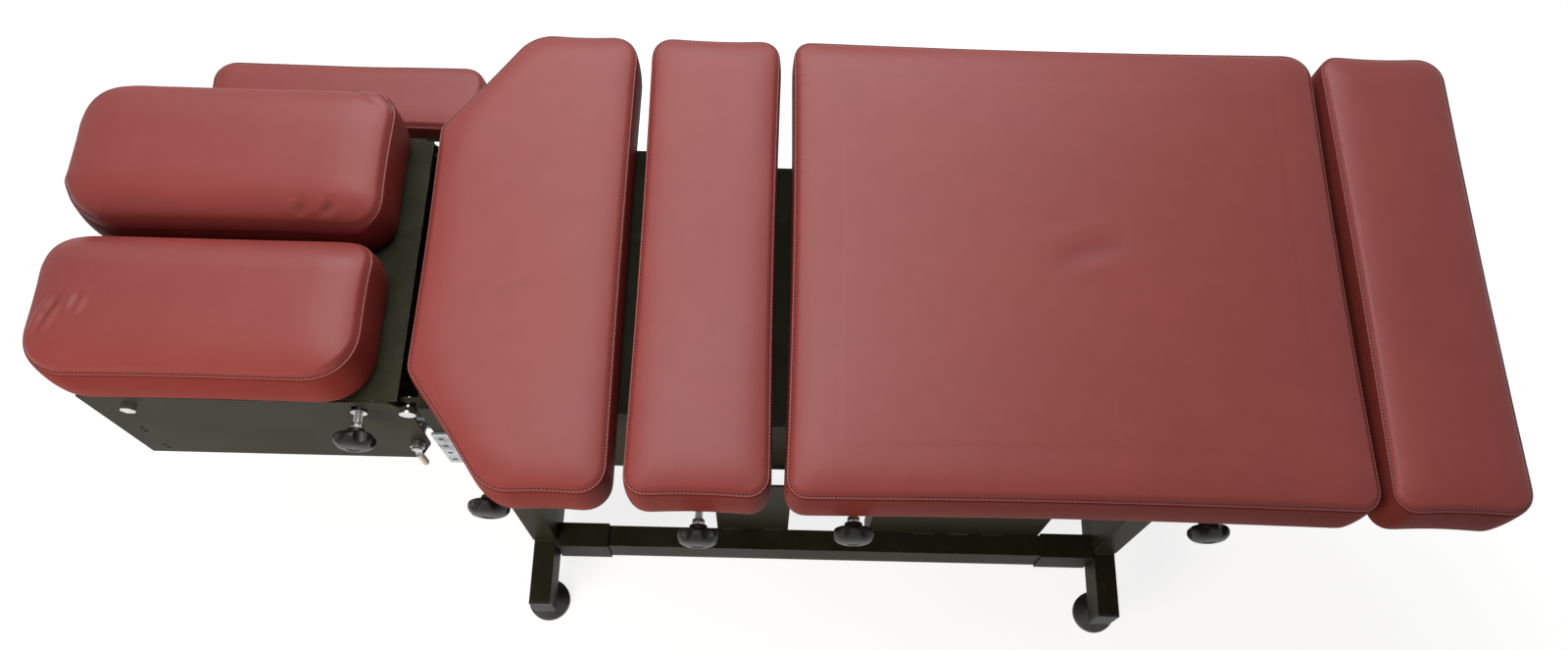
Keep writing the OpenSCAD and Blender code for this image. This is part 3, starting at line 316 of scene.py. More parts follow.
    @staticmethod
    def scuffs(w: Wiring, given: bpy.types.NodeOutputs) -> tuple:
        """Sparse fine scratches, mostly level, in a few rubbed places.

        Args:
            w: Wiring of the group.
            given: The group's inputs.

        Returns:
            The outputs' sockets.
        """
        where = w.scaled(w.scaled(w.place(), (0.4, 0.4, 5.0)), given["Scale"])
        thin = w.spread(w.noise(1.0, 2.0, where, Distortion=2.2), 0.68, 0.78)
        sparse = w.math("MULTIPLY", thin, w.spread(w.noise(11.0), 0.50, 0.66))
        return (w.math("MULTIPLY", sparse, given["Amount"], clamp=True),)

    @staticmethod
    def flakes(w: Wiring, given: bpy.types.NodeOutputs) -> tuple:
        """Patches of a zinc coat, each in its own grey."""
        flakes = w.add("TexVoronoi", {"Vector": w.place(), "Scale": given["Scale"]}).outputs["Color"]
        return (w.add("SeparateColor", {0: flakes}).outputs[0],)


def blank(name: str) -> tuple[bpy.types.Material, Wiring, bpy.types.Node]:
    """Starts a material with a Principled shader.

    Args:
        name: Name of the material.

    Returns:
        The material, its wiring and the shader.
    """
    material = bpy.data.materials.new(name)
    material.use_nodes = True
    shader = next(n for n in material.node_tree.nodes if n.type == "BSDF_PRINCIPLED")
    return material, Wiring(material.node_tree), shader


def join(w: Wiring, shader: bpy.types.Node, tone: object, rough: object, height: object, depth: float,
         strength: float = 1.0, normal: object = None, metal: object = 0.0, gloss: float = 0.5) -> None:
    """Feeds the usual sockets of a shader.

    Args:
        w: Wiring of the material.
        shader: The Principled shader.
        tone: Socket for the base colour.
        rough: Socket for the roughness.
        height: Socket for the bump height.
        depth: Distance of the bump in millimetres.
        strength: Strength of the bump.
        normal: Normal that the bump starts from.
        metal: Metallic share or its socket.
        gloss: Specular level.
    """
    bump = w.add("Bump", {"Height": height, "Distance": depth * MM, "Strength": strength})
    if normal is not None:
        w.feed(bump.inputs["Normal"], normal)
    for label, value in {"Base Color": tone, "Roughness": rough, "Metallic": metal, "Specular IOR Level": gloss,
                         "Normal": bump.outputs["Normal"]}.items():
        w.feed(shader.inputs[label], value)


@dataclass(frozen=True)
class Recipe:
    """A finish in layers: two mottled base tones, then tints that shared effects lay on.

    Effects are named with their input values. A layer names its effect, its share and its colour. The relief
    names its effect, its depth in millimetres and its strength.
    """

    base: tuple[tuple, tuple]
    effects: dict[str, tuple[float, ...]]
    layers: tuple[tuple[str, float, tuple], ...]
    rough: float
    rough_by: dict[str, float]
    relief: tuple[str, float, float]
    base_by: tuple[str, float] = ("Mottle", 1.0)
    gloss: float = 0.5
    metal: float = 0.0
    steel_above: float | None = None
    steel: tuple = from_screen(200, 202, 202)
    tarnish: tuple = from_screen(136, 134, 126)

    def build(self, name: str, effects: Effects) -> bpy.types.Material:
        """Builds the material.

        Args:
            name: Its name.
            effects: The shared groups.

        Returns:
            The material.
        """
        material, w, shader = blank(name)
        laid = {kind: effects.use(w, kind, *values) for kind, values in self.effects.items()}
        kind, share = self.base_by
        tone = w.mix(w.math("MULTIPLY", laid[kind]["Tone"], share), *self.base)
        for kind, share, color in self.layers:
            tone = w.mix(w.math("MULTIPLY", laid[kind]["Tone"], share), tone, color)
        rough = w.total(self.rough, *((laid[kind]["Tone"], factor) for kind, factor in self.rough_by.items()))
        metal = self.metal
        if self.steel_above is not None:
            metal = w.spread(w.rise(w.place()), self.steel_above - 0.2 * MM, self.steel_above + 0.2 * MM)
            steel = w.mix(laid["Mottle"]["Tone"], self.steel, self.tarnish)
            steel = w.mix(w.math("MULTIPLY", laid["Streaks"]["Tone"], 0.25), steel, self.tarnish)
            tone = w.mix(metal, tone, steel)
            rough = w.total(rough, (metal, -0.16))
        kind, depth, strength = self.relief
        normal = laid["Edge wear"]["Normal"] if "Edge wear" in laid else None
        join(w, shader, tone, rough, laid[kind]["Height"], depth, strength, normal, metal, self.gloss)
        return material


def powder(dark: tuple, light: tuple, worn: tuple, rough: float = 0.40, wear: float = 0.55) -> Recipe:
    """Powder-coated steel with a fine texture, bright worn edges and a little dust.

    Args:
        dark: Darker base tone.
        light: Lighter base tone.
        worn: Tone of scratches and edges.
        rough: Least roughness.
        wear: Strength of the worn edges.

    Returns:
        The recipe.
    """
    dust = from_screen(120, 118, 104)
    return Recipe((dark, light), {"Grain": (1500.0, 0.7), "Mottle": (5.0, 0.3, 0.7), "Dust": (0.08, 22.0),
                                  "Edge wear": (0.0013, wear, 70.0), "Scuffs": (34.0, 0.09)},
                  (("Grain", 0.05, dust), ("Scuffs", 1.0, worn), ("Edge wear", 1.0, worn), ("Dust", 1.0, dust)),
                  rough, {"Mottle": 0.10, "Dust": 0.5}, ("Grain", 0.10, 0.7), gloss=0.03)


def plated(clean: tuple, dull: tuple, rough: float, lines: tuple[float, float, float],
           flakes: float = 0.0) -> Recipe:
    """Plated or bare steel with drawing lines and dull spots.

    Args:
        clean: Bright tone.
        dull: Dull tone.
        rough: Least roughness.
        lines: Fineness of the lines along X, Y and Z.
        flakes: Share of zinc flakes.

    Returns:
        The recipe.
    """
    effects = {"Streaks": lines, "Mottle": (45.0, 0.42, 0.72), "Edge wear": (0.0006, 0.5, 90.0)}
    layers = (("Streaks", 0.18, dull), ("Edge wear", 1.0, clean))
    if flakes:
        effects["Flakes"] = (230.0,)
        layers = (("Flakes", flakes, dull), *layers)
    return Recipe((clean, dull), effects, layers, rough, {"Mottle": 0.16, "Streaks": 0.08},
                  ("Streaks", 0.03, 0.6), ("Mottle", 0.7), metal=1.0)


def moulded(dark: tuple, light: tuple, rubbed: tuple, rough: float, cells: float = 1300.0,
            depth: float = 0.06) -> Recipe:
    """Moulded plastic or rubber with a fine grain and rubbed edges.

    Args:
        dark: Darker base tone.
        light: Lighter base tone.
        rubbed: Tone of scratches, edges and dust.
        rough: Least roughness.
        cells: Fineness of the grain.
        depth: Depth of the grain in millimetres.

    Returns:
        The recipe.
    """
    return Recipe((dark, light), {"Grain": (cells, 0.8), "Mottle": (24.0, 0.3, 0.72), "Dust": (0.1, 60.0),
                                  "Edge wear": (0.0009, 0.45, 110.0), "Scuffs": (85.0, 0.08)},
                  tuple((kind, 1.0, rubbed) for kind in ("Scuffs", "Edge wear", "Dust")), rough,
                  {"Mottle": 0.12, "Grain": 0.08}, ("Grain", depth, 0.8), gloss=0.30)


def steel_topped(dark: tuple, light: tuple, rubbed: tuple, split: float) -> Recipe:
    """A moulded piece whose upper part is plated steel.

    Args:
        dark: Darker base tone.
        light: Lighter base tone.
        rubbed: Tone of edges and dust.
        split: Height above which it is steel.

    Returns:
        The recipe.
    """
    return Recipe((dark, light), {"Grain": (1200.0, 0.8), "Mottle": (40.0, 0.35, 0.72), "Dust": (0.3, 50.0),
                                  "Edge wear": (0.0008, 0.5, 100.0), "Streaks": (300.0, 300.0, 1800.0)},
                  (("Edge wear", 1.0, rubbed), ("Dust", 1.0, rubbed)), 0.42, {"Mottle": 0.14},
                  ("Grain", 0.05, 0.7), steel_above=split)


@dataclass(frozen=True)
class Leather:
    """Burgundy coated upholstery with a fine pebble, painted shade in its seams and creases and painted
    highlights on its seam ridges.
    """

    deep: tuple = from_screen(123, 50, 46)
    warm: tuple = from_screen(129, 54, 50)
    # Painted shade of the seam grooves and of the creases
    groove: tuple = from_screen(58, 16, 15)
    # Painted highlight of the seam ridges; it also lightens small random patches and the pebble tops
    ridge: tuple = from_screen(170, 92, 86)
    gloss: float = 0.32
    rough: float = 0.38

    def build(self, name: str, effects: Effects) -> bpy.types.Material:
        """Builds the material.

        Args:
            name: Its name.
            effects: The shared groups.

        Returns:
            The material.
        """
        material, w, shader = blank(name)
        grain = effects.use(w, "Grain", 900.0, 0.55)
        broad = effects.use(w, "Mottle", 2.6, 0.32, 0.68)["Tone"]
        small = effects.use(w, "Mottle", 30.0, 0.25, 0.75)["Tone"]
        seam, lip, pull = (w.add("Attribute", attribute_name=mark).outputs["Fac"] for mark in Cover.MARKS)
        tone = w.mix(broad, self.deep, self.warm)
        # Lightens small patches and pebble tops, paints a highlight on the seam ridge (lip) and paints shade
        # into the seam groove and the creases (seam)
        for mask, share, color in ((small, 0.05, self.ridge), (grain["Tone"], 0.07, self.ridge),
                                   (lip, 0.28, self.ridge), (seam, 0.85, self.groove)):
            tone = w.mix(w.math("MULTIPLY", mask, share), tone, color)
        rough = w.total(self.rough, (broad, 0.07), (grain["Tone"], 0.10))
        strip = w.scaled(w.add("UVMap", uv_map="cover").outputs["UV"], (105.0, 9.0, 1.0))
        tucks = w.math("MULTIPLY", w.noise(1.0, 2.0, strip), pull)
        height = w.total(0.0, (grain["Height"], 0.045), (tucks, 0.7), (w.noise(13.0), 0.30))
        join(w, shader, tone, rough, height, 1.0, gloss=self.gloss)
        return material


@dataclass(frozen=True)
class Plywood:
    """Birch plywood with grain on its faces and plies along its edges."""

    face: tuple = from_screen(205, 176, 132)
    late: tuple = from_screen(158, 118, 76)
    glue: tuple = from_screen(92, 60, 36)
    ply: float = 1.5 * MM

    def build(self, name: str, effects: Effects) -> bpy.types.Material:
        """Builds the material.

        Args:
            name: Its name.
            effects: The shared groups.

        Returns:
            The material.
        """
        material, w, shader = blank(name)
        grain = effects.use(w, "Streaks", 260.0, 9.0, 260.0)["Tone"]
        pores = effects.use(w, "Streaks", 1500.0, 60.0, 1500.0)
        broad = effects.use(w, "Mottle", 7.0, 0.3, 0.7)["Tone"]
        edge = effects.use(w, "Edge wear", 0.0008, 0.5, 80.0)["Tone"]
        level = w.math("DIVIDE", w.rise(w.place()), self.ply)
        band = w.spread(w.math("PINGPONG", level, 1.0), 0.30, 0.62)
        seam = w.spread(w.math("PINGPONG", level, 0.5), 0.10, 0.0)
        side = w.spread(w.math("ABSOLUTE", w.rise(w.add("NewGeometry").outputs["Normal"])), 0.7, 0.3)
        tone = w.mix(w.math("MULTIPLY", grain, 0.55), self.face, self.late)
        tone = w.mix(w.math("MULTIPLY", broad, 0.25), tone, self.late)
        plies = w.mix(w.math("MULTIPLY", seam, 0.75), w.mix(band, self.face, self.late), self.glue)
        tone = w.mix(w.math("MULTIPLY", pores["Tone"], 0.18), w.mix(side, tone, plies), self.glue)
        tone = w.mix(edge, tone, self.face)
        join(w, shader, tone, w.total(0.58, (grain, 0.12)), pores["Height"], 0.12, 0.7)
        return material


class Wardrobe:
    """Holds the finished materials."""

    def __init__(self) -> None:
        """Builds every finish once."""
        effects = Effects()
        screen = from_screen
        black = screen(17, 17, 18)
        # The thread's dark tones are partly its own colour and partly painted shade, standing in for the
        # shadows of the stitches
        thread = Recipe((screen(24, 8, 10), screen(52, 20, 20)), {"Streaks": (2200.0, 2200.0, 900.0)}, (), 0.5,
                        {"Streaks": 0.15}, ("Streaks", 0.15, 0.6), ("Streaks", 1.0))
        makers = {
            Finish.LEATHER: Leather(),
            # The boxing leather: its low gloss is its own finish, its slightly darker base is painted shade of
            # the cushions' sides
            Finish.LEATHER_SIDE: Leather(screen(116, 44, 38), screen(122, 48, 42), gloss=0.02, rough=0.44),
            Finish.FRAME_PAINT: powder(screen(32, 31, 20), screen(39, 38, 26), screen(150, 150, 138)),
            Finish.BLACK_PAINT: powder(screen(26, 27, 27), screen(38, 39, 38), screen(120, 120, 116), 0.42,
                                       0.45),
            Finish.WELD: powder(screen(40, 41, 35), screen(58, 58, 48), screen(150, 148, 134), wear=0.3),
            Finish.BRIGHT_STEEL: plated(screen(206, 208, 208), screen(150, 148, 140), 0.22,
                                        (900.0, 60.0, 900.0)),
            Finish.STAPLE: plated(screen(190, 190, 186), screen(120, 118, 112), 0.30, (900.0, 900.0, 900.0)),
            Finish.ZINC: plated(screen(196, 202, 206), screen(128, 132, 134), 0.40, (260.0, 260.0, 40.0),
                                0.35),
            Finish.BLACK_PLASTIC: moulded(black, screen(34, 34, 34), screen(96, 95, 92), 0.46),
            Finish.RUBBER: moulded(black, screen(40, 39, 38), screen(88, 86, 82), 0.70, 900.0, 0.10),
            Finish.KNOB_PLASTIC: moulded(screen(16, 16, 17), screen(30, 30, 31), screen(92, 91, 88), 0.30,
                                         1700.0, 0.035),
            Finish.FOOT_PLASTIC: steel_topped(screen(24, 24, 25), screen(44, 44, 44), screen(120, 118, 112),
                                              18.3 * MM),
            Finish.NYLON: steel_topped(screen(206, 200, 182), screen(226, 222, 208), screen(150, 142, 124),
                                       340.5 * MM),
            Finish.PLYWOOD: Plywood(),
            Finish.THREAD: thread,
        }
        self.materials = {finish: maker.build(finish.value + "_look", effects)
                          for finish, maker in makers.items()}

    def of(self, *finishes: Finish) -> list[bpy.types.Material]:
        """Materials of some finishes."""
        return [self.materials[finish] for finish in finishes]


# Meshes

def angles(count: int) -> np.ndarray:
    """Evenly spaced angles of a full turn."""
    return np.arange(count) * 2 * math.pi / count


def circle(radius: float | np.ndarray, z: float, count: int) -> np.ndarray:
    """Points of a level ring about the Z axis, with one radius or one for each point."""
    turn = angles(count)
    return np.stack([radius * np.cos(turn), radius * np.sin(turn), np.full(count, z)], axis=1)


def hoop(centre: np.ndarray, side: np.ndarray, up: np.ndarray, radius: float, count: int) -> np.ndarray:
    """Points of a circle about a centre, in the plane of two directions."""
    turn = angles(count)[:, None]
    return centre + radius * (np.cos(turn) * side + np.sin(turn) * up)


def unit(vectors: np.ndarray) -> np.ndarray:
    """Gives every row a length of 1."""
    return vectors / np.linalg.norm(vectors, axis=-1, keepdims=True)


def running(steps: Sequence[float] | np.ndarray) -> np.ndarray:
    """Running total of some steps, from 0."""
    return np.concatenate([[0.0], np.cumsum(steps)])


def smooth_step(share: np.ndarray) -> np.ndarray:
    """Rises smoothly from 0 to 1 over a share of 0 to 1."""
    held = np.clip(share, 0.0, 1.0)
    return held * held * (3 - 2 * held)


def placed(name: str, data: bpy.types.ID) -> bpy.types.Object:
    """Makes an object and links it to the scene.

    Args:
        name: Its name.
        data: Its mesh, lamp or camera.

    Returns:
        The object.
    """
    thing = bpy.data.objects.new(name, data)
    bpy.context.scene.collection.objects.link(thing)
    return thing


def of_vertices(mesh: bpy.types.Mesh, name: str) -> np.ndarray:
    """Reads a vector of every vertex.

    Args:
        mesh: The mesh.
        name: "co" or "normal".

    Returns:
        An array of shape (count, 3).
    """
    values = np.zeros(len(mesh.vertices) * 3)
    mesh.vertices.foreach_get(name, values)
    return values.reshape(-1, 3)


def strip_faces(rows: int, count: int) -> list[tuple[int, ...]]:
    """Faces between closed rings.

    Args:
        rows: Number of rings.
        count: Points of each.

    Returns:
        The point indices of each face.
    """
    after = [*range(1, count), 0]
    return [(low + k, low + after[k], low + count + after[k], low + count + k)
            for low in range(0, (rows - 1) * count, count) for k in range(count)]


class Shape:
    """Points and faces gathered for one mesh."""

    def __init__(self, rings: Sequence[np.ndarray] = (), slot: int = 0) -> None:
        """Starts empty, or skins and caps closed rings that have the same number of points.

        Args:
            rings: Rings of points, each an array of shape (count, 3).
            slot: Material slot of the faces.
        """
        self.points = [tuple(map(float, point)) for ring in rings for point in ring]
        self.faces: list[tuple[int, ...]] = []
        if len(rings):
            count, top = len(rings[0]), len(self.points)
            self.faces = strip_faces(len(rings), count)
            self.faces += [tuple(range(count - 1, -1, -1)), tuple(range(top - count, top))]
        self.slots = [slot] * len(self.faces)

    def add(self, other: "Shape") -> None:
        """Takes in another shape.

        Args:
            other: The shape.
        """
        start = len(self.points)
        self.points += other.points
        self.faces += [tuple(start + k for k in face) for face in other.faces]
        self.slots += other.slots

    def to_piece(self, name: str, body: str, slot: Finish, materials: list[bpy.types.Material],
                 sharp: float = 35.0, node: str | None = None) -> None:
        """Args:
            name: Name of the piece.
            body: Body that it rides.
            slot: Slot of its material; not used.
            materials: Materials of its faces.
            sharp: Edges whose faces meet at more degrees than this stay sharp.
            node: CAD node that it replaces.
        """
        mesh = bpy.data.meshes.new(name)
        mesh.from_pydata(self.points, [], self.faces)
        for material in materials:
            mesh.materials.append(material)
        mesh.polygons.foreach_set("material_index", self.slots)
        mesh.polygons.foreach_set("use_smooth", [True] * len(mesh.polygons))
        mesh.set_sharp_from_angle(angle=math.radians(sharp))
        mesh.update()
        piece = placed(name, mesh)
        if node:
            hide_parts(node)
        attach(piece, body)
        LOG.info("%s: %d faces", name, len(self.faces))


# Cushions

@dataclass(frozen=True)
class Outline:
    """Plan of a cushion in millimetres: corners, seen from above against the clock, with rounded corners."""

    corners: tuple[tuple[float, float], ...]
    radii: tuple[float, ...]
    edge_points: tuple[int, ...]
    draw: float
    grid_corners: tuple[int, int, int, int] = (0, 1, 2, 3)
    arc_points: int = 7
    least_radius: float = 9.0 * MM

    def sides(self) -> tuple[np.ndarray, np.ndarray]:
        """Measures the sides.

        Returns:
            The corners in metres and the inward direction of each side.
        """
        corners = np.array(self.corners) * MM
        ahead = unit(np.roll(corners, -1, axis=0) - corners)
        return corners, np.stack([-ahead[:, 1], ahead[:, 0]], axis=1)

    def ring(self, inset: float) -> np.ndarray:
        """Points of the outline at a distance inside it.

        Args:
            inset: Distance inwards in metres.

        Returns:
            An array of shape (count, 2).
        """
        corners, inward = self.sides()
        arcs = []
        for k, full in enumerate(np.array(self.radii) * MM):
            radius = max(full - inset, min(full, self.least_radius))
            before, after = inward[k - 1], inward[k]
            centre = corners[k] + (before + after) * (inset + radius) / (1 + before @ after)
            turn = math.acos(max(-1.0, min(1.0, float(before @ after))))
            bend = math.atan2(-before[1], -before[0]) + np.linspace(0, turn, self.arc_points)
            arcs.append(centre + radius * np.stack([np.cos(bend), np.sin(bend)], axis=1))
        points = []
        for k, arc in enumerate(arcs):
            first, last = arc[-1], arcs[(k + 1) % len(arcs)][0]
            share = (np.arange(1, self.edge_points[k] + 1) / (self.edge_points[k] + 1))[:, None]
            drawn = inward[k] * (self.draw * MM) * np.sin(math.pi * share)
            points += [arc, first + (last - first) * share + drawn]
        return np.concatenate(points)

    def corner_index(self, corner: int) -> int:
        """Index in a ring of the middle of a corner's arc."""
        return sum(self.edge_points[:corner]) + self.arc_points * corner + self.arc_points // 2

    def reach(self, points: np.ndarray) -> list[np.ndarray]:
        """Distances of points, of shape (count, 2), from each side's line."""
        return [(points - corner) @ inward for corner, inward in zip(*self.sides())]


def box_outline(low: tuple[float, float], high: tuple[float, float], radii: tuple[float, ...], draw: float,
                pitch: float = 9.5) -> Outline:
    """Makes the outline of a rectangular cushion, in millimetres.

    Args:
        low: Lowest X and Y.
        high: Highest X and Y.
        radii: Radius of each corner, or one for all.
        draw: How far the middle of each side is drawn in.
        pitch: Distance between points.

    Returns:
        The outline.
    """
    each = radii if len(radii) == 4 else radii * 4
    steps = tuple(max(3, round((high[axis] - low[axis] - 2 * max(each)) / pitch)) for axis in range(2))
    return Outline((low, (high[0], low[1]), high, (low[0], high[1])), each, steps * 2, draw)


@dataclass(frozen=True)
class Crease:
    """A wrinkle pressed into a cover along a path in metres. Its depth and width are in millimetres."""

    depth: float
    width: float
    path: tuple[tuple[float, float, float], ...]
    ridge: float = 0.4

    def height(self, points: np.ndarray) -> np.ndarray:
        """How far each point moves along its normal.

        Args:
            points: Points of shape (count, 3).

        Returns:
            One distance for each point.
        """
        path, width = np.array(self.path), self.width * MM
        best = np.full(len(points), np.inf)
        place = np.zeros(len(points))
        for k, (start, end) in enumerate(zip(path, path[1:])):
            leg = end - start
            share = np.clip((points - start) @ leg / (leg @ leg), 0, 1)
            gap = np.linalg.norm(points - (start + share[:, None] * leg), axis=1)
            place = np.where(gap < best, (k + share) / (len(path) - 1), place)
            best = np.minimum(gap, best)
        taper = np.sin(np.clip(place, 0.02, 0.98) * math.pi) ** 0.6
        valley = np.exp(-((best / width) ** 2))
        bank = np.exp(-(((best - 2.1 * width) / width) ** 2))
        return self.depth * MM * taper * (self.ridge * bank - valley)


def smoothed(mesh: bpy.types.Mesh, values: np.ndarray, pinned: list[int], rounds: int = 70) -> np.ndarray:
    """Averages values with those of the neighbours, and holds some at zero.

    Args:
        mesh: Mesh that gives the neighbours.
        values: One row of values for each vertex.
        pinned: Vertices whose values stay at zero.
        rounds: How often.

    Returns:
        The smoothed values.
    """
    edges = np.zeros(len(mesh.edges) * 2, dtype=np.int64)
    mesh.edges.foreach_get("vertices", edges)
    first, second = edges.reshape(-1, 2).T
    number = 1.0 + np.bincount(edges, minlength=len(values))
    for _ in range(rounds):
        total = values.copy()
        np.add.at(total, first, values[second])
        np.add.at(total, second, values[first])
        values = total / number[:, None]
        values[pinned] = 0.0
    return values


@dataclass
class Cover:
    """One cushion: a sewn cover pulled over its board, with a boxed side, a seam and stitches.

    Its rings run from the flange under the board over a fold, the boxing and the seam to the roll of the top
    panel. A grid fills the panel's middle.
    """

    # Masks of the cage: painted shade (seam), painted highlight (lip) and the strength of the small tucks
    # (pull)
    MARKS = ("seam", "lip", "pull")
    # Inset and rise in millimetres, painted shade in the groove and painted highlight on the ridge
    SEAM_ROWS = ((1.0, -3.4, 0.0, 0.0), (1.5, -2.0, 0.3, 0.0), (2.3, -1.3, 0.95, 0.0), (1.9, -0.5, 0.35, 0.5),
                 (1.9, 0.4, 0.0, 1.0), (2.5, 0.8, 0.0, 0.9), (3.1, 0.7, 0.0, 0.2), (3.9, 0.4, 0.3, 0.0),
                 (4.8, 0.9, 0.1, 0.0), (6.2, 1.9, 0.0, 0.0), (8.2, 3.2, 0.0, 0.0))
    FLANGE_SHARES = (1.0, 0.6, 0.25)
    FLANGE_START = 5.0 * MM
    # Inset and rise in millimetres, and the pull of the small tucks
    FOLD_ROWS = ((4.6, 0.0, 0.0), (2.4, 0.9, 0.1))
    BOXING_RISE = 4.0 * MM
    BOXING_INSET = 1.4 * MM
    SLOW_WAVE = 0.8 * MM
    ROLL_INSETS = (11.0, 14.5, 19.0, 24.5, 31.0, 39.0, 48.0, 58.0)
    ROLL_SHARE = 0.30
    BOXING_ROW = 5
    BOXING_STEPS = 7
    SEAM_ROW = 12
    PANEL_ROW = 14
    STITCHED_ROW = 19
    ROLLED_DROP = 34.0 * MM
    ROLLED_WIDTH = 60.0 * MM
    STITCH_PITCH = 4.4 * MM
    STITCH_RADIUS = 0.70 * MM
    STITCH_SHARE = 0.62
    STITCH_BENDS = ((0.0, 0.35, -0.5), (0.18, 0.9, 0.35), (0.5, 1.0, 0.6), (0.82, 0.9, 0.35), (1.0, 0.35, -0.5))
    STAPLE_PITCH = 22.0 * MM
    STAPLE_WIRE = 0.35 * MM
    STAPLE_HALF = 5.0 * MM
    STAPLE_INSET = 3.5 * MM
    STAPLE_BENDS = ((-1.0, -0.4, 0.8), (-0.93, 0.7, 1.0), (0.93, 0.7, 1.0), (1.0, -0.4, 0.8))
    # Painted shade in the creases: its most, and the valley depth that reaches it
    CREASE_SHADE = 0.45
    FULL_SHADE_DEPTH = 6.0 * MM
    CLOTH = dict(quality=5, mass=0.35, tension_stiffness=28, compression_stiffness=28, shear_stiffness=8,
                 bending_stiffness=1.2, vertex_group_mass="held", use_pressure=True, uniform_pressure_force=2.2)
    CLOTH_STEPS = 16
    MOST_SWELL = 5.0 * MM

    name: str
    node: str
    body: str
    outline: Outline
    bottom: float
    seam: float
    crown: float
    roll: float
    fill: float
    seed: int
    flange: float = 24.0 * MM
    keep_out: tuple[float, float, float, float] | None = None
    bulge: float = 2.0 * MM
    lift: float = 0.0
    creases: tuple[Crease, ...] = ()
    pucker: float = 0.15 * MM
    rolled_side: int | None = None
    levels: int = 1
    fullness: float = 0.8
    rows: list[np.ndarray] = field(default_factory=list)
    marks: list[np.ndarray] = field(default_factory=list)

    def crown_height(self, points: np.ndarray) -> np.ndarray:
        """Height of the top panel above its seam.

        Args:
            points: Points in plan, of shape (count, 2).

        Returns:
            One height for each point.
        """
        height = np.full(len(points), self.crown)
        for gap in self.outline.reach(points):
            height = height * (1 - (1 - np.clip(gap / self.roll, 0, 1)) ** 3) ** self.fullness
        corners, _ = self.outline.sides()
        share = np.clip((points - corners.min(axis=0)) / np.ptp(corners, axis=0), 0, 1)
        return height + self.lift * np.prod(np.sin(math.pi * share), axis=1)

    def dip(self, points: np.ndarray) -> np.ndarray:
        """How far the top falls towards the side that has no seam.

        Args:
            points: Points in plan, of shape (count, 2).

        Returns:
            One drop for each point.
        """
        if self.rolled_side is None:
            return np.zeros(len(points))
        share = np.clip(self.outline.reach(points)[self.rolled_side] / self.ROLLED_WIDTH, 0, 1)
        return self.ROLLED_DROP * (1 - np.sqrt(1 - (1 - share) ** 2))

    def plain(self, points: np.ndarray) -> np.ndarray:
        """Share of a plain side without seam, from 0 to 1, at each point."""
        return smooth_step((self.dip(points) / self.ROLLED_DROP - 0.25) / 0.45)

    def wave(self, count: int, size: float, scale: float) -> np.ndarray:
        """A smooth random wave around a closed ring.

        Args:
            count: Number of points of the ring.
            size: Height of the wave.
            scale: Waves around the ring, about.

        Returns:
            One value for each point.
        """
        rng = np.random.default_rng(self.seed)
        total = np.zeros(count)
        for _ in range(9):
            waves = max(1, round(scale * rng.uniform(0.4, 1.6)))
            total += rng.uniform(0.3, 1.0) * np.sin(waves * angles(count) + rng.uniform(0, 2 * math.pi))
        return size * total / 3.0

    def kept_clear(self, ring: np.ndarray) -> np.ndarray:
        """Pulls the points of a flange out of the space of the metal under the board.

        Args:
            ring: Points in plan.

        Returns:
            The points, moved to the edge of the metal where they were over it.
        """
        if self.keep_out is None:
            return ring
        edges = np.array(self.keep_out).reshape(2, 2) * MM
        for point in ring:
            if all(low < v < high for v, (low, high) in zip(point, edges)):
                _, axis, edge = min((abs(point[axis] - edge), axis, edge)
                                    for axis in range(2) for edge in edges[axis])
                point[axis] = edge
        return ring

    def push(self, ring: np.ndarray, z: float | np.ndarray, seam: float | np.ndarray = 0.0,
             lip: float | np.ndarray = 0.0, pull: float | np.ndarray = 0.0,
             out: float | np.ndarray = 0.0) -> None:
        """Adds one ring of points. Each value is one for all points or one for each.

        Args:
            ring: Points in plan.
            z: Height.
            seam: Painted shade in a groove.
            lip: Painted highlight on a ridge.
            pull: Strength of the small tucks.
            out: Distance outwards.
        """
        ahead = unit(np.roll(ring, -1, axis=0) - np.roll(ring, 1, axis=0))
        outward = np.stack([ahead[:, 1], -ahead[:, 0]], axis=1)
        even = (len(ring),)
        self.rows.append(np.column_stack([ring + outward * np.reshape(out, (-1, 1)), np.broadcast_to(z, even)]))
        self.marks.append(np.stack([np.broadcast_to(mark, even) for mark in (seam, lip, pull)], axis=1))

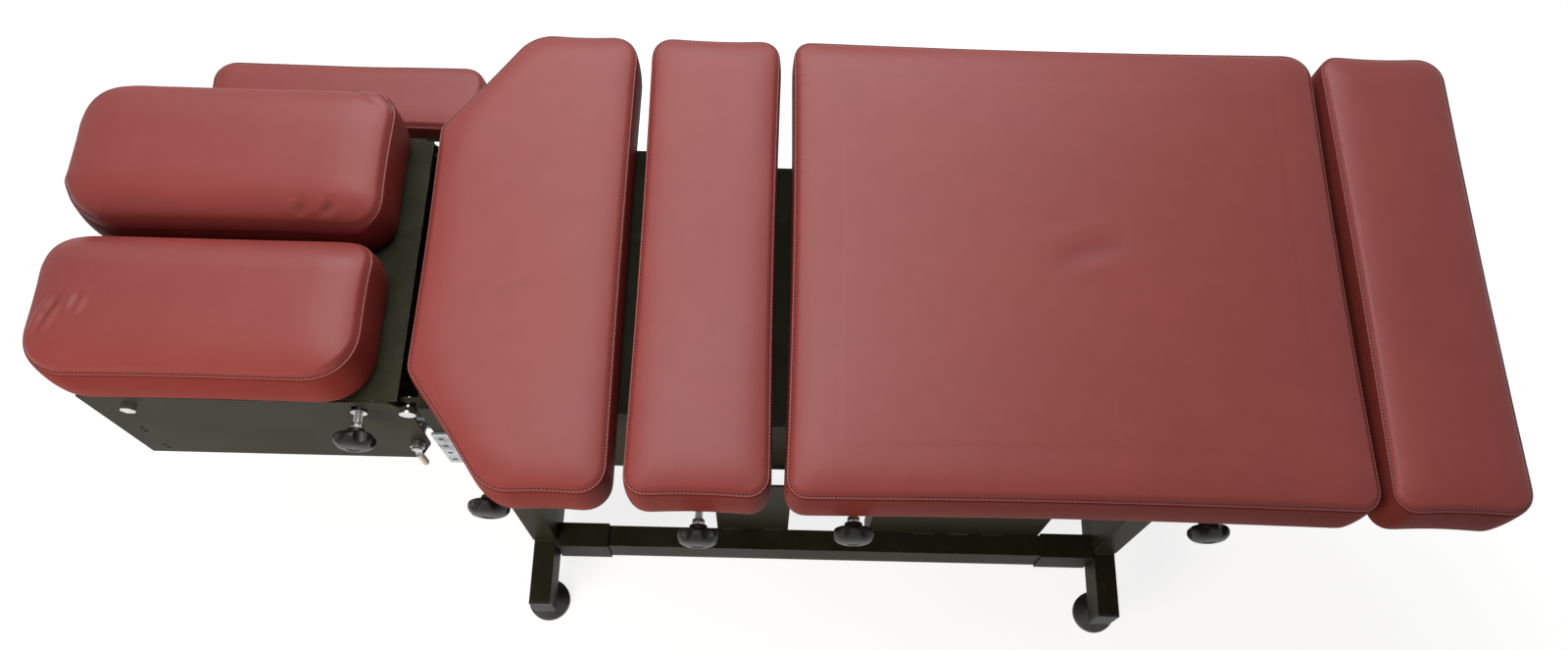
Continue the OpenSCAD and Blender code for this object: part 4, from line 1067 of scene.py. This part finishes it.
    def lay_rows(self) -> None:
        """Lays out the rings of the cover, from the flange under the board to the top panel."""
        ring_at = self.outline.ring
        count = len(ring_at(0.0))
        ripple = self.wave(count, self.pucker, count / 5)
        slow = self.wave(count, self.SLOW_WAVE, count / 26)
        for share in self.FLANGE_SHARES:
            inset = self.FLANGE_START + share * (self.flange - self.FLANGE_START)
            self.push(self.kept_clear(ring_at(inset)), self.bottom)
        for inset, rise, pull in self.FOLD_ROWS:
            self.push(ring_at(inset * MM), self.bottom + rise * MM, pull=pull)
        (first_in, first_up, *_), (last_in, last_up, *_) = self.SEAM_ROWS[0], self.SEAM_ROWS[-1]
        low = self.bottom + self.BOXING_RISE
        for k in range(self.BOXING_STEPS):
            share = k / self.BOXING_STEPS
            swell = self.bulge * math.sin(math.pi * (0.08 + 0.92 * share)) ** 0.8
            ring = ring_at(self.BOXING_INSET - swell)
            top = self.seam + first_up * MM - self.dip(ring)
            self.push(ring, low + (top - low) * share, pull=0.15 + 0.85 * share ** 2.5,
                      out=ripple * 0.6 * share)
        full = self.crown_height(ring_at(last_in * MM))
        for k, (inset, rise, seam, lip) in enumerate(self.SEAM_ROWS):
            share = max(0.0, (inset - 3.0) / (last_in - 3.0)) ** 1.15 if k > 4 else 0.0
            even = k / (len(self.SEAM_ROWS) - 1)
            ring = ring_at(inset * MM)
            smooth = ring_at((first_in + even ** 1.6 * (last_in - first_in)) * MM)
            plain = self.plain(ring)
            z = self.seam + rise * MM + share * (full - last_up * MM) + slow * 0.4 - self.dip(ring)
            plain_z = self.seam + first_up * MM + even ** 0.8 * (full - first_up * MM) - self.dip(smooth)
            # The painted shade of the groove and the painted highlight of the ridge fade out where the side is
            # plain.
            self.push(ring + (smooth - ring) * plain[:, None], z + (plain_z - z) * plain, seam * (1 - plain),
                      lip * (1 - plain), 1.0 - plain, ripple * 0.4)
        deepest = self.ROLL_SHARE * np.ptp(self.outline.sides()[0], axis=0).min()
        for inset in self.ROLL_INSETS:
            if inset * MM <= deepest:
                ring = ring_at(inset * MM)
                fade = math.exp(-(inset - 8) / 14) * (1 - self.plain(ring))
                z = self.seam + self.crown_height(ring) - self.dip(ring) + (ripple + slow * 0.4) * fade
                self.push(ring, z, pull=fade)

    def lattice(self) -> tuple[np.ndarray, np.ndarray]:
        """Fills the middle of the top panel with a grid between the sides of the last ring.

        Returns:
            The new points, and the indices of all the grid's points, those of the ring too.
        """
        ring = self.rows[-1][:, :2]
        count = len(ring)
        a, b, c, d = (self.outline.corner_index(k) for k in self.outline.grid_corners)
        along, across = np.arange((b - a) % count + 1), np.arange((c - b) % count + 1)
        grid = np.zeros((len(across), len(along)), dtype=int)
        grid[:, 0], grid[:, -1] = (a - across) % count, (b + across) % count
        grid[0], grid[-1] = (a + along) % count, (d - along) % count
        near, far, left, right = (ring[side] for side in (grid[0], grid[-1], grid[:, 0], grid[:, -1]))
        u, v = (along / along[-1])[None, 1:-1, None], (across / across[-1])[1:-1, None, None]
        flat = (1 - v) * near[None, 1:-1] + v * far[None, 1:-1]
        flat = flat + (1 - u) * left[1:-1, None] + u * right[1:-1, None]
        shared = (1 - u) * (1 - v) * near[0] + u * (1 - v) * near[-1] + (1 - u) * v * far[0] + u * v * far[-1]
        flat = flat - shared
        plan = flat.reshape(-1, 2)
        grid += (len(self.rows) - 1) * count
        grid[1:-1, 1:-1] = len(self.rows) * count + np.arange(len(plan)).reshape(flat.shape[:2])
        return np.column_stack([plan, self.seam + self.crown_height(plan) - self.dip(plan)]), grid

    def mesh(self) -> bpy.types.Object:
        """Builds the cage of the cover.

        Returns:
            The cage, with its masks and with coordinates that run along and across the boxing in metres.
        """
        self.lay_rows()
        rows, count = len(self.rows), len(self.rows[0])
        inner, grid = self.lattice()
        points = np.concatenate([*self.rows, inner])
        panel = np.stack([grid[:-1, :-1], grid[:-1, 1:], grid[1:, 1:], grid[1:, :-1]], axis=-1).reshape(-1, 4)
        faces = strip_faces(rows, count) + panel.tolist()
        mesh = bpy.data.meshes.new(self.name + "_cage")
        mesh.from_pydata(points.tolist(), [], faces)
        boxing = self.PANEL_ROW * count
        # Faces of the boxing take the side leather, whose slightly darker base is painted shade
        mesh.polygons.foreach_set("material_index", [int(k < boxing) for k in range(len(faces))])
        masks = np.zeros((3, len(points)), dtype=np.float32)
        masks[:, :rows * count] = np.concatenate(self.marks).T
        for label, values in zip(self.MARKS, masks):
            mesh.attributes.new(label, "FLOAT", "POINT").data.foreach_set("value", values)
        outer = self.rows[self.BOXING_ROW]
        along = running(np.linalg.norm(np.roll(outer, -1, axis=0) - outer, axis=1))
        across = running([np.linalg.norm(high - low, axis=1).mean()
                          for low, high in zip(self.rows, self.rows[1:])])
        u = along[np.arange(count)[:, None] + (0, 1, 1, 0)]
        v = across[np.arange(rows - 1)[:, None] + (0, 0, 1, 1)]
        strip = np.stack(np.broadcast_arrays(u[None], v[:, None]), axis=-1).reshape(-1, 2)
        values = np.concatenate([strip, points[panel.ravel(), :2]]).astype(np.float32)
        mesh.uv_layers.new(name="cover").data.foreach_set("uv", values.ravel())
        return placed(self.name + "_cage", mesh)

    def inflate(self, cage: bpy.types.Object) -> None:
        """Lets cloth pressure fill the cover and keeps a capped, smoothed share of the swelling.

        Args:
            cage: The cage, changed in place.
        """
        trial = placed(cage.name + "_trial", cage.data.copy())
        count = len(self.rows[0])
        seam_rows = range(self.SEAM_ROW, self.SEAM_ROW + len(self.SEAM_ROWS))
        held_rows = {*range(self.BOXING_ROW + 1), *seam_rows}
        pinned = [k for k in range(len(self.rows) * count) if k // count in held_rows]
        trial.vertex_groups.new(name="held").add(pinned, 1.0, "REPLACE")
        cloth = trial.modifiers.new("Cloth", "CLOTH")
        for label, value in self.CLOTH.items():
            setattr(cloth.settings, label, value)
        cloth.settings.effector_weights.gravity = 0
        cloth.collision_settings.use_collision = False
        cloth.point_cache.frame_start = 1
        cloth.point_cache.frame_end = self.CLOTH_STEPS
        for step in range(1, self.CLOTH_STEPS + 1):
            bpy.context.scene.frame_set(step)
        result = trial.evaluated_get(bpy.context.evaluated_depsgraph_get()).data
        before = of_vertices(cage.data, "co")
        move = of_vertices(result, "co") - before
        move = move * self.MOST_SWELL / (self.MOST_SWELL + np.linalg.norm(move, axis=1)[:, None])
        cage.data.vertices.foreach_set("co", (before + smoothed(cage.data, move, pinned)).ravel())
        bpy.data.objects.remove(trial)
        bpy.context.scene.frame_set(1)

    def build(self, wardrobe: Wardrobe) -> None:
        """Builds the cover with its stitches and staples.

        Args:
            wardrobe: The finished materials.
        """
        cage = self.mesh()
        for material in wardrobe.of(Finish.LEATHER, Finish.LEATHER_SIDE):
            cage.data.materials.append(material)
        self.inflate(cage)
        cage.modifiers.new("Subdivision", "SUBSURF").levels = self.levels
        graph = bpy.context.evaluated_depsgraph_get()
        fine = bpy.data.meshes.new_from_object(cage.evaluated_get(graph), preserve_all_data_layers=True,
                                               depsgraph=graph)
        fine.name = self.name
        bpy.data.objects.remove(cage)
        cover = placed(self.name, fine)
        if self.creases:
            self.press_creases(fine)
        fine.polygons.foreach_set("use_smooth", [True] * len(fine.polygons))
        fine.update()
        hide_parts(self.node)
        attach(cover, self.body)
        LOG.info("cover %s: %d points", self.name, len(fine.vertices))
        self.sew(fine, wardrobe)
        self.staple(fine, wardrobe)

    def press_creases(self, mesh: bpy.types.Mesh) -> None:
        """Presses the wrinkles into the fine mesh and paints shade into them through the seam mask.

        Args:
            mesh: The mesh, changed in place.
        """
        points = of_vertices(mesh, "co")
        total = sum(crease.height(points) for crease in self.creases)
        points = points + of_vertices(mesh, "normal") * total[:, None]
        mesh.vertices.foreach_set("co", points.ravel())
        shade = np.zeros(len(points), dtype=np.float32)
        mesh.attributes["seam"].data.foreach_get("value", shade)
        # Painted shade in the creases: the deeper the valley, the darker, up to a limit
        dark = np.clip(-total / self.FULL_SHADE_DEPTH, 0, self.CREASE_SHADE)
        shade = np.maximum(shade, dark).astype(np.float32)
        mesh.attributes["seam"].data.foreach_set("value", shade)

    def sew(self, mesh: bpy.types.Mesh, wardrobe: Wardrobe) -> None:
        """Lays a row of stitches along the seam.

        Args:
            mesh: The fine mesh, whose first points are those of the cage.
            wardrobe: The finished materials.
        """
        count = len(self.rows[0])
        first = self.STITCHED_ROW * count
        ring = np.hstack([of_vertices(mesh, "co"), of_vertices(mesh, "normal")])[first:first + count]
        legs = np.linalg.norm(np.roll(ring[:, :3], -1, axis=0) - ring[:, :3], axis=1)
        total, marks, closed = legs.sum(), running(legs), np.vstack([ring, ring[:1]])
        number = max(8, round(total / self.STITCH_PITCH))
        half = self.STITCH_SHARE * self.STITCH_PITCH / 2
        shape = Shape()
        for k in range(number):
            centre = total * (k + 0.5) / number
            spots = np.array([[np.interp(spot, marks, values) for values in closed.T]
                              for spot in ((centre - half) % total, centre, (centre + half) % total)])
            if self.plain(spots[1:2, :2])[0] < 0.5:
                shape.add(self.stitch(spots[:, :3], unit(spots[1, 3:])))
        shape.to_piece(f"{self.name}_stitches", self.body, Finish.LEATHER, wardrobe.of(Finish.THREAD), 180.0)

    def stitch(self, spots: np.ndarray, up: np.ndarray) -> Shape:
        """One stitch: a short thread that arches over and dips in at both ends.

        Args:
            spots: Its start, middle and end on the surface.
            up: The surface's normal.

        Returns:
            The stitch.
        """
        start, middle, end = spots
        side = unit(np.cross(up, unit(end - start)))
        rings = []
        for share, thick, rise in self.STITCH_BENDS:
            arch = (middle - (start + end) / 2) * (1 - abs(2 * share - 1)) + up * self.STITCH_RADIUS * rise
            rings.append(hoop(start + (end - start) * share + arch, side, up, self.STITCH_RADIUS * thick, 5))
        return Shape(rings)

    def staple(self, mesh: bpy.types.Mesh, wardrobe: Wardrobe) -> None:
        """Puts staples through the flange into the board.

        Args:
            mesh: The fine mesh, whose first points are those of the cage.
            wardrobe: The finished materials.
        """
        count = len(self.rows[0])
        inner, _, path = of_vertices(mesh, "co")[:3 * count].reshape(3, count, 3)
        width = np.linalg.norm(inner - path, axis=1)
        shape, up = Shape(), np.array((0.0, 0.0, 1.0))
        wire, half = self.STAPLE_WIRE, self.STAPLE_HALF
        every = max(2, round(self.STAPLE_PITCH / np.linalg.norm(path[1] - path[0])))
        for k in range(1, count, every):
            if width[k] < half:
                continue
            lean = 0.25 * math.sin(7.3 * k)
            inward = (inner[k] - path[k]) / width[k]
            run = unit(path[(k + 1) % count] - path[k - 1]) * math.cos(lean) + inward * math.sin(lean)
            across = np.cross(run, up)
            rings = []
            for share, drop, thick in self.STAPLE_BENDS:
                spot = path[k] + inward * self.STAPLE_INSET + run * half * share - up * wire * drop
                square = [a * across + b * up for a, b in ((-1, -1), (1, -1), (1, 1), (-1, 1))]
                rings.append(spot + wire * thick * np.array(square))
            shape.add(Shape(rings))
        if shape.faces:
            shape.to_piece(f"{self.name}_staples", self.body, Finish.BRIGHT_STEEL, wardrobe.of(Finish.STAPLE))


class Upholstery:
    """The seven cushions. Paths of wrinkles are in metres, plans in millimetres."""

    near_creases = (
        Crease(5.2, 4.2, ((-0.821, -0.144, 0.609), (-0.813, -0.120, 0.613), (-0.801, -0.097, 0.617)), 0.6),
        Crease(3.6, 3.6, ((-0.786, -0.119, 0.614), (-0.782, -0.107, 0.616), (-0.778, -0.094, 0.618)), 0.6),
        Crease(3.4, 3.4, ((-0.791, -0.173, 0.600), (-0.789, -0.156, 0.608)), 0.5),
        Crease(3.0, 3.4, ((-0.832, -0.128, 0.602), (-0.822, -0.150, 0.602)), 0.5))
    far_creases = (
        Crease(2.8, 5, ((-0.497, 0.191, 0.603), (-0.471, 0.178, 0.602))),
        Crease(2.4, 5, ((-0.520, 0.190, 0.605), (-0.486, 0.172, 0.608))),
        Crease(2.6, 5, ((-0.564, 0.019, 0.600), (-0.556, 0.036, 0.608))),
        Crease(2.8, 5, ((-0.534, 0.018, 0.600), (-0.522, 0.038, 0.608))),
        Crease(-1.8, 7, ((-0.845, 0.060, 0.596), (-0.825, 0.064, 0.606)), 0.3))
    chest_creases = (
        Crease(1.2, 7, ((-0.328, -0.073, 0.592), (-0.307, -0.060, 0.592), (-0.280, -0.052, 0.592))),)
    lumbar_creases = (
        Crease(1.2, 2.6, ((-0.157, -0.2965, 0.577), (-0.157, -0.2995, 0.545), (-0.157, -0.2975, 0.510)),
               0.0),)
    pelvic_creases = (Crease(1.2, 13, ((0.321, -0.011, 0.593), (0.374, 0.008, 0.593), (0.416, 0.016, 0.593))),)

    def covers(self) -> list[Cover]:
        """Lists the cushions with their sizes.

        Returns:
            The covers, from the head end to the foot end.
        """
        chest = Outline(((-417, -160), (-315, -300), (-180, -300), (-180, 300), (-315, 300), (-417, 160)),
                        (30, 52, 32, 32, 52, 30), (13, 10, 64, 10, 13, 24), 1.5, (1, 2, 3, 4))
        body = dict(bottom=506.2 * MM, seam=580 * MM, crown=12 * MM, roll=62 * MM, fill=0.8)
        head = dict(bottom=525.2 * MM, seam=598 * MM, crown=22 * MM, roll=80 * MM, fill=0.7, bulge=3.0 * MM,
                    flange=22.0 * MM, pucker=0.3 * MM, levels=2, fullness=0.65)
        return [
            Cover("head_cover_near", "head_cushion_near", "head_pad_near",
                  box_outline((-845, -184), (-465, 2), (52, 57, 40, 52), 1, 11),
                  creases=self.near_creases, rolled_side=2, seed=3, **head),
            Cover("head_cover_far", "head_cushion_far", "head_pad_far",
                  box_outline((-845, 12), (-465, 198), (57, 38, 38, 57), 1, 11),
                  creases=self.far_creases, rolled_side=0, seed=5, **head),
            Cover("chest_cover", "chest_cushion", "chest_section", chest, lift=1.0 * MM, seed=7,
                  keep_out=(-386, -211, -147, 147), creases=self.chest_creases, **body),
            Cover("lumbar_cover", "lumbar_cushion", "lumbar_section",
                  box_outline((-165, -300), (0, 300), (26,), 2), seed=9,
                  keep_out=(-141, -7, -147, 147), creases=self.lumbar_creases, **body),
            Cover("pelvic_cover", "pelvic_cushion", "pelvic_section",
                  box_outline((15, -300), (675, 300), (24, 26, 33, 22), 3), lift=1.5 * MM, seed=11,
                  keep_out=(59, 656, -147, 147), creases=self.pelvic_creases, **body),
            Cover("foot_cover", "foot_cushion", "foot_section",
                  box_outline((685, -300), (845, 300), (26, 30, 32, 24), 2), seed=13,
                  keep_out=(699, 831, -142, 142), **body),
            Cover("armrest_cover", "armrest_cushion", "armrest_pad_body",
                  box_outline((-775, 235), (-402, 337), (30,), 1.5, 8), seed=15,
                  bottom=411.2 * MM, seam=447 * MM, crown=8 * MM, roll=36 * MM, fill=0.7, flange=16 * MM,
                  bulge=1.5 * MM),
        ]

    def build(self, wardrobe: Wardrobe) -> None:
        """Builds every cushion."""
        for cover in self.covers():
            cover.build(wardrobe)


# Knobs

@dataclass(frozen=True)
class StarKnob:
    """A six-lobed clamping knob with its collar, locking nut, threaded stud and washer."""

    name: str
    place: tuple[float, float, float]
    end: float
    washer: tuple[float, float] | None
    radius: float = 25.0 * MM
    height: float = 19.0 * MM
    show: float = 15.0 * MM
    nut: float = 7.0 * MM
    nut_corner: float = 8.0 * MM
    collar: float = 6.0 * MM
    collar_radius: float = 10.5 * MM
    stud: float = 5.0 * MM
    pitch: float = 1.5 * MM
    washer_radius: float = 10.0 * MM
    lobes: int = 6
    cut_radius: float = 11.0 * MM
    cut_out: float = 6.0 * MM
    profile: tuple[tuple[float, float], ...] = (
        (0.46, 0.0), (0.66, 0.0), (0.82, 0.05), (0.93, 0.13), (0.985, 0.25), (1.0, 0.38), (0.985, 0.52),
        (0.94, 0.64), (0.865, 0.755), (0.76, 0.85), (0.63, 0.92), (0.49, 0.965), (0.37, 0.985), (0.31, 0.99),
        (0.29, 0.955), (0.26, 0.945), (0.10, 0.95))

    def star(self, base: float, count: int = 96) -> Shape:
        """Builds the plastic star: a round profile with the round cuts between its lobes.

        Args:
            base: Height of its lower face on the stud.
            count: Points around.

        Returns:
            The star.
        """
        step = 2 * math.pi / self.lobes
        from_cut = (angles(count) + step / 2) % step - step / 2
        centre, soft = self.radius + self.cut_out, 1.1 * MM
        across = centre * np.sin(from_cut)
        under = np.maximum(self.cut_radius ** 2 - across ** 2, 0.0)
        cut = np.where(np.abs(across) < self.cut_radius, centre * np.cos(from_cut) - np.sqrt(under), 1.0)
        rings = []
        for share, up in self.profile:
            ring = self.radius * share
            kept = np.clip(0.5 + 0.5 * (cut - ring) / soft, 0, 1)
            radius = cut * (1 - kept) + ring * kept - soft * kept * (1 - kept)
            rings.append(circle(radius, base + up * self.height, count))
        return Shape(rings)

    def hexagon(self, base: float, count: int = 60) -> Shape:
        """Builds the chamfered locking nut.

        Args:
            base: Height of its lower face on the stud.
            count: Points around.

        Returns:
            The nut.
        """
        flat, chamfer, lip = self.nut_corner * math.cos(math.pi / 6), 0.75 * MM, 0.05 * MM
        sides = flat / np.cos((angles(count) + math.pi / 6) % (math.pi / 3) - math.pi / 6)
        steps = ((0.0, flat * 0.93), (lip, flat * 0.97), (chamfer, self.nut_corner),
                 (self.nut - chamfer, self.nut_corner), (self.nut - lip, flat * 0.97), (self.nut, flat * 0.93))
        return Shape([circle(np.minimum(sides, limit), base + up, count) for up, limit in steps], 1)

    def thread(self, start: float, end: float, count: int = 20) -> Shape:
        """Builds the threaded stud.

        Args:
            start: Its inner end.
            end: Its outer end.
            count: Points around.

        Returns:
            The stud.
        """
        rings = [circle(self.stud * 0.80, start, count)]
        z = start + 0.6 * MM
        while z < end:
            rings += [circle(self.stud * share, z + rise * self.pitch, count)
                      for share, rise in ((1.0, 0.0), (1.0, 0.20), (0.86, 0.55), (0.86, 0.68))]
            z += self.pitch
        return Shape(rings, 1)

    def turned(self, steps: Sequence[tuple[float, float]], slot: int) -> Shape:
        """Builds a turned shape from the radius and height of each ring."""
        return Shape([circle(radius, z, 40) for radius, z in steps], slot)

    def build(self, wardrobe: Wardrobe) -> None:
        """Builds the knob on its axis.

        Args:
            wardrobe: The finished materials.
        """
        x, y, z = (v * MM for v in self.place)
        collar_z = self.show + self.nut
        star_z = collar_z + self.collar
        wide, soft, edge = self.collar_radius, 0.8 * MM, 0.35 * MM
        knob = self.star(star_z)
        knob.add(self.turned(((wide * 0.94, collar_z), (wide, collar_z + soft), (wide, star_z - soft),
                              (wide * 1.12, star_z + soft)), 0))
        knob.add(self.hexagon(self.show))
        knob.add(self.thread(y - self.end * MM, collar_z + 1.0 * MM))
        if self.washer is not None:
            low, high = (y - side * MM for side in self.washer)
            wide = self.washer_radius
            knob.add(self.turned(((self.stud, low), (wide - edge, low), (wide, low + edge), (wide, high - edge),
                                  (wide - edge, high), (self.stud, high)), 1))
        place = Matrix.Translation((x, y, z)) @ Matrix.Rotation(math.pi / 2, 4, "X")
        knob.points = [tuple(place @ Vector(point)) for point in knob.points]
        knob.to_piece(self.name + "_dressed", self.name + "_body", Finish.KNOB_PLASTIC,
                      wardrobe.of(Finish.KNOB_PLASTIC, Finish.BRIGHT_STEEL), node=self.name)


class Knobs:
    """The five star knobs of the near side. Places, inner ends and washers along Y are in millimetres."""

    knobs = (StarKnob("chest_knob", (-327.0, -254.5, 480.0), -160.7, (-160.7, -163.7)),
             StarKnob("lumbar_knob", (-83.0, -283.5, 480.0), -160.7, (-160.7, -163.7)),
             StarKnob("pelvic_knob", (97.0, -276.5, 480.0), -160.7, (-160.7, -163.7)),
             StarKnob("foot_knob", (524.0, -255.5, 445.0), -132.8, None),
             StarKnob("head_knob", (-492.0, -179.3, 487.0), -160.5, (-179.3, -181.3)))

    def build(self, wardrobe: Wardrobe) -> None:
        """Builds every knob."""
        for knob in self.knobs:
            knob.build(wardrobe)


# The CAD nodes that keep their shape

class Framework:
    """Dresses the rigid CAD nodes."""

    finishes: dict[Finish, tuple[str, ...]] = {
        Finish.FRAME_PAINT: (
            "armrest_bracket", "base_crossbars", "base_rails", "chassis_crossmembers", "chassis_deck",
            "chassis_ends", "chassis_side_far", "chassis_side_near", "chest_bridges", "corner_sleeves",
            "front_columns", "head_floor", "head_side_far", "head_side_near", "head_tray", "hinge_lugs",
            "leg_posts", "rear_columns"),
        Finish.BLACK_PAINT: ("chest_frame", "lumbar_frame", "pelvic_frame", "foot_riser", "foot_guides",
                             "knob_tubes"),
        Finish.BRIGHT_STEEL: ("armrest_post", "foot_slide_tubes", "guide_rods", "head_bolts", "hinge_pins",
                              "levelling_bushes"),
        Finish.ZINC: ("tilt_quadrant",),
        Finish.BLACK_PLASTIC: ("armrest_clamp", "crossbar_end_caps"),
        Finish.FOOT_PLASTIC: ("levelling_foot_1", "levelling_foot_2", "levelling_foot_3", "levelling_foot_4"),
        Finish.RUBBER: ("rest_buffers",),
        Finish.NYLON: ("tilt_lever",),
        Finish.PLYWOOD: ("armrest_board", "chest_board", "foot_board", "head_board_far", "head_board_near",
                         "lumbar_board", "pelvic_board"),
    }

    def dress(self, wardrobe: Wardrobe) -> None:
        """Gives every rigid node its material.

        Args:
            wardrobe: The finished materials.
        """
        for finish, nodes in self.finishes.items():
            for node in nodes:
                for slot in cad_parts[node].material_slots:
                    slot.material = wardrobe.materials[finish]
            LOG.info("%s: %d nodes", finish.value, len(nodes))


class Welds:
    """Weld beads of the base, where the posts and columns meet the tubes. Lines are in millimetres."""

    radius = 2.2 * MM
    ripple = 2.6 * MM
    bar_top = 95.0
    post_beads = tuple((x - 14.0, x + 14.0, y) for x in (-325.0, 491.0) for y in (179.0, 236.0))
    column_beads = tuple((low, high, 212.0) for low, high in (
        (-68.0, -38.0), (-8.0, 22.0), (212.0, 244.0), (262.0, 294.0), (312.0, 344.0)))

    def bead(self, low: float, high: float, y: float) -> Shape:
        """Builds one fillet weld: overlapping ripples along X, their inner half in the metal.

        Args:
            low: Its start along X.
            high: Its end along X.
            y: Its place along Y.

        Returns:
            The bead.
        """
        start, end = (np.array((x, y, self.bar_top)) * MM for x in (low, high))
        length = float(np.linalg.norm(end - start))
        along = (end - start) / length
        side = unit(np.cross(along, (0.31, 0.77, 0.55)))
        up = np.cross(along, side)
        steps = max(6, round(length / (self.ripple / 4)))
        rings = []
        for k in range(steps + 1):
            share = k / steps
            phase = share * length / self.ripple
            swell = 0.80 + 0.26 * (phase % 1.0) ** 0.7
            taper = min(1.0, 0.35 + min(share, 1 - share) * length / self.radius)
            drift = 0.10 * math.sin(phase * 1.7) + 0.07 * math.sin(phase * 0.61 + 1.0)
            radius = self.radius * (swell + drift) * taper
            rings.append(hoop(start + along * share * length, side, up, radius, 9))
        return Shape(rings)

    def build(self, wardrobe: Wardrobe) -> None:
        """Builds the beads of both sides as one piece on the base.

        Args:
            wardrobe: The finished materials.
        """
        shape = Shape()
        for side in (-1, 1):
            for low, high, y in self.post_beads + self.column_beads:
                shape.add(self.bead(low, high, side * y))
        shape.to_piece("base_welds", "base", Finish.FRAME_PAINT, wardrobe.of(Finish.WELD), 60.0)


# Studio

@dataclass(frozen=True)
class Lamp:
    """A soft area lamp."""

    name: str
    place: tuple[float, float, float]
    aim: tuple[float, float, float]
    width: float
    height: float
    power: float
    color: tuple[float, float, float] = (1.0, 1.0, 1.0)
    glare: bool = True

    def build(self) -> None:
        """Adds the lamp."""
        light = bpy.data.lights.new(self.name, "AREA")
        light.shape = "RECTANGLE"
        light.size = self.width
        light.size_y = self.height
        light.energy = self.power
        light.color = self.color
        lamp = placed(self.name, light)
        lamp.visible_glossy = self.glare
        lamp.location = self.place
        lamp.rotation_euler = (Vector(self.aim) - Vector(self.place)).to_track_quat("-Z", "Y").to_euler()


class Studio:
    """A pale floor, soft lamps and a white surround."""

    floor_half = 9.0
    floor_tone = (0.42, 0.42, 0.42, 1.0)
    floor_glow = 0.83
    ambient = 0.12
    lamps = (Lamp("window", (-0.25, 1.8, 2.3), (-0.2, 0.0, 0.5), 2.2, 1.0, 45.0, (0.94, 0.98, 1.0)),
             Lamp("ceiling", (-0.28, 0.2, 2.1), (-0.22, 0.05, 0.5), 1.2, 0.8, 17.5),
             Lamp("doorway", (-0.85, -1.15, 0.8), (-0.25, -0.3, 0.5), 0.8, 0.7, 13.0, (1.0, 0.86, 0.72), False))

    def build(self) -> None:
        """Builds floor, surround and lamps."""
        self.build_floor()
        self.build_world()
        for lamp in self.lamps:
            lamp.build()

    def build_floor(self) -> None:
        """Builds the floor, white to the camera with the object's shadow kept."""
        half = self.floor_half
        mesh = bpy.data.meshes.new("floor")
        corners = [(-half, -half, 0), (half, -half, 0), (half, half, 0), (-half, half, 0)]
        mesh.from_pydata(corners, [], [(0, 1, 2, 3)])
        floor = placed("floor", mesh)
        material, w, shader = blank("floor_look")
        path = w.add("LightPath").outputs
        seen = w.math("MAXIMUM", path["Is Camera Ray"], path["Is Glossy Ray"])
        glow = w.math("MULTIPLY", seen, self.floor_glow)
        for label, value in {"Base Color": self.floor_tone, "Roughness": 0.9, "Specular IOR Level": 0.0,
                             "Emission Color": WHITE, "Emission Strength": glow}.items():
            w.feed(shader.inputs[label], value)
        mesh.materials.append(material)

    def build_world(self) -> None:
        """Builds a surround that is white where it is seen and softer where it lights."""
        world = bpy.data.worlds.new("surround")
        world.use_nodes = True
        bpy.context.scene.world = world
        w = Wiring(world.node_tree)
        back = next(n for n in world.node_tree.nodes if n.type == "BACKGROUND")
        path = w.add("LightPath").outputs
        seen = w.math("MAXIMUM", path["Is Camera Ray"], path["Is Transmission Ray"])
        seen = w.math("MAXIMUM", seen, path["Is Glossy Ray"])
        w.feed(back.inputs["Color"], WHITE)
        w.feed(back.inputs["Strength"], w.total(self.ambient, (seen, 1.0 - self.ambient)))


@dataclass(frozen=True)
class Viewpoint:
    """The camera, at the photograph's place and angle."""

    place: tuple[float, float, float] = (-6.04 * MM, -672.39 * MM, 1942.55 * MM)
    pitch: float = 66.947
    yaw: float = 1.619
    roll: float = 2.935
    lens: float = 29.462

    def build(self) -> None:
        """Adds the camera and makes it the scene's."""
        pitch, yaw, roll = (math.radians(a) for a in (self.pitch, self.yaw, self.roll))
        ahead = Vector((math.sin(yaw) * math.cos(pitch), math.cos(yaw) * math.cos(pitch), -math.sin(pitch)))
        level = Vector((math.cos(yaw), -math.sin(yaw), 0.0))
        above = level.cross(ahead)
        right = math.cos(roll) * level + math.sin(roll) * above
        up = -math.sin(roll) * level + math.cos(roll) * above
        data = bpy.data.cameras.new("camera")
        data.lens = self.lens
        data.sensor_width = 36.0
        data.sensor_fit = "HORIZONTAL"
        data.clip_start = 0.05
        data.clip_end = 60.0
        camera = placed("camera", data)
        turn = Matrix((right, up, -ahead)).transposed().to_4x4()
        camera.matrix_world = Matrix.Translation(self.place) @ turn
        bpy.context.scene.camera = camera


def main() -> None:
    """Builds the scene piece by piece."""
    logging.basicConfig(level=logging.INFO, format="%(name)s: %(message)s")
    bpy.context.scene.view_settings.view_transform = "Standard"
    Viewpoint().build()
    Studio().build()
    wardrobe = Wardrobe()
    Framework().dress(wardrobe)
    Upholstery().build(wardrobe)
    Knobs().build(wardrobe)
    Welds().build(wardrobe)


if __name__ == "__main__":
    main()
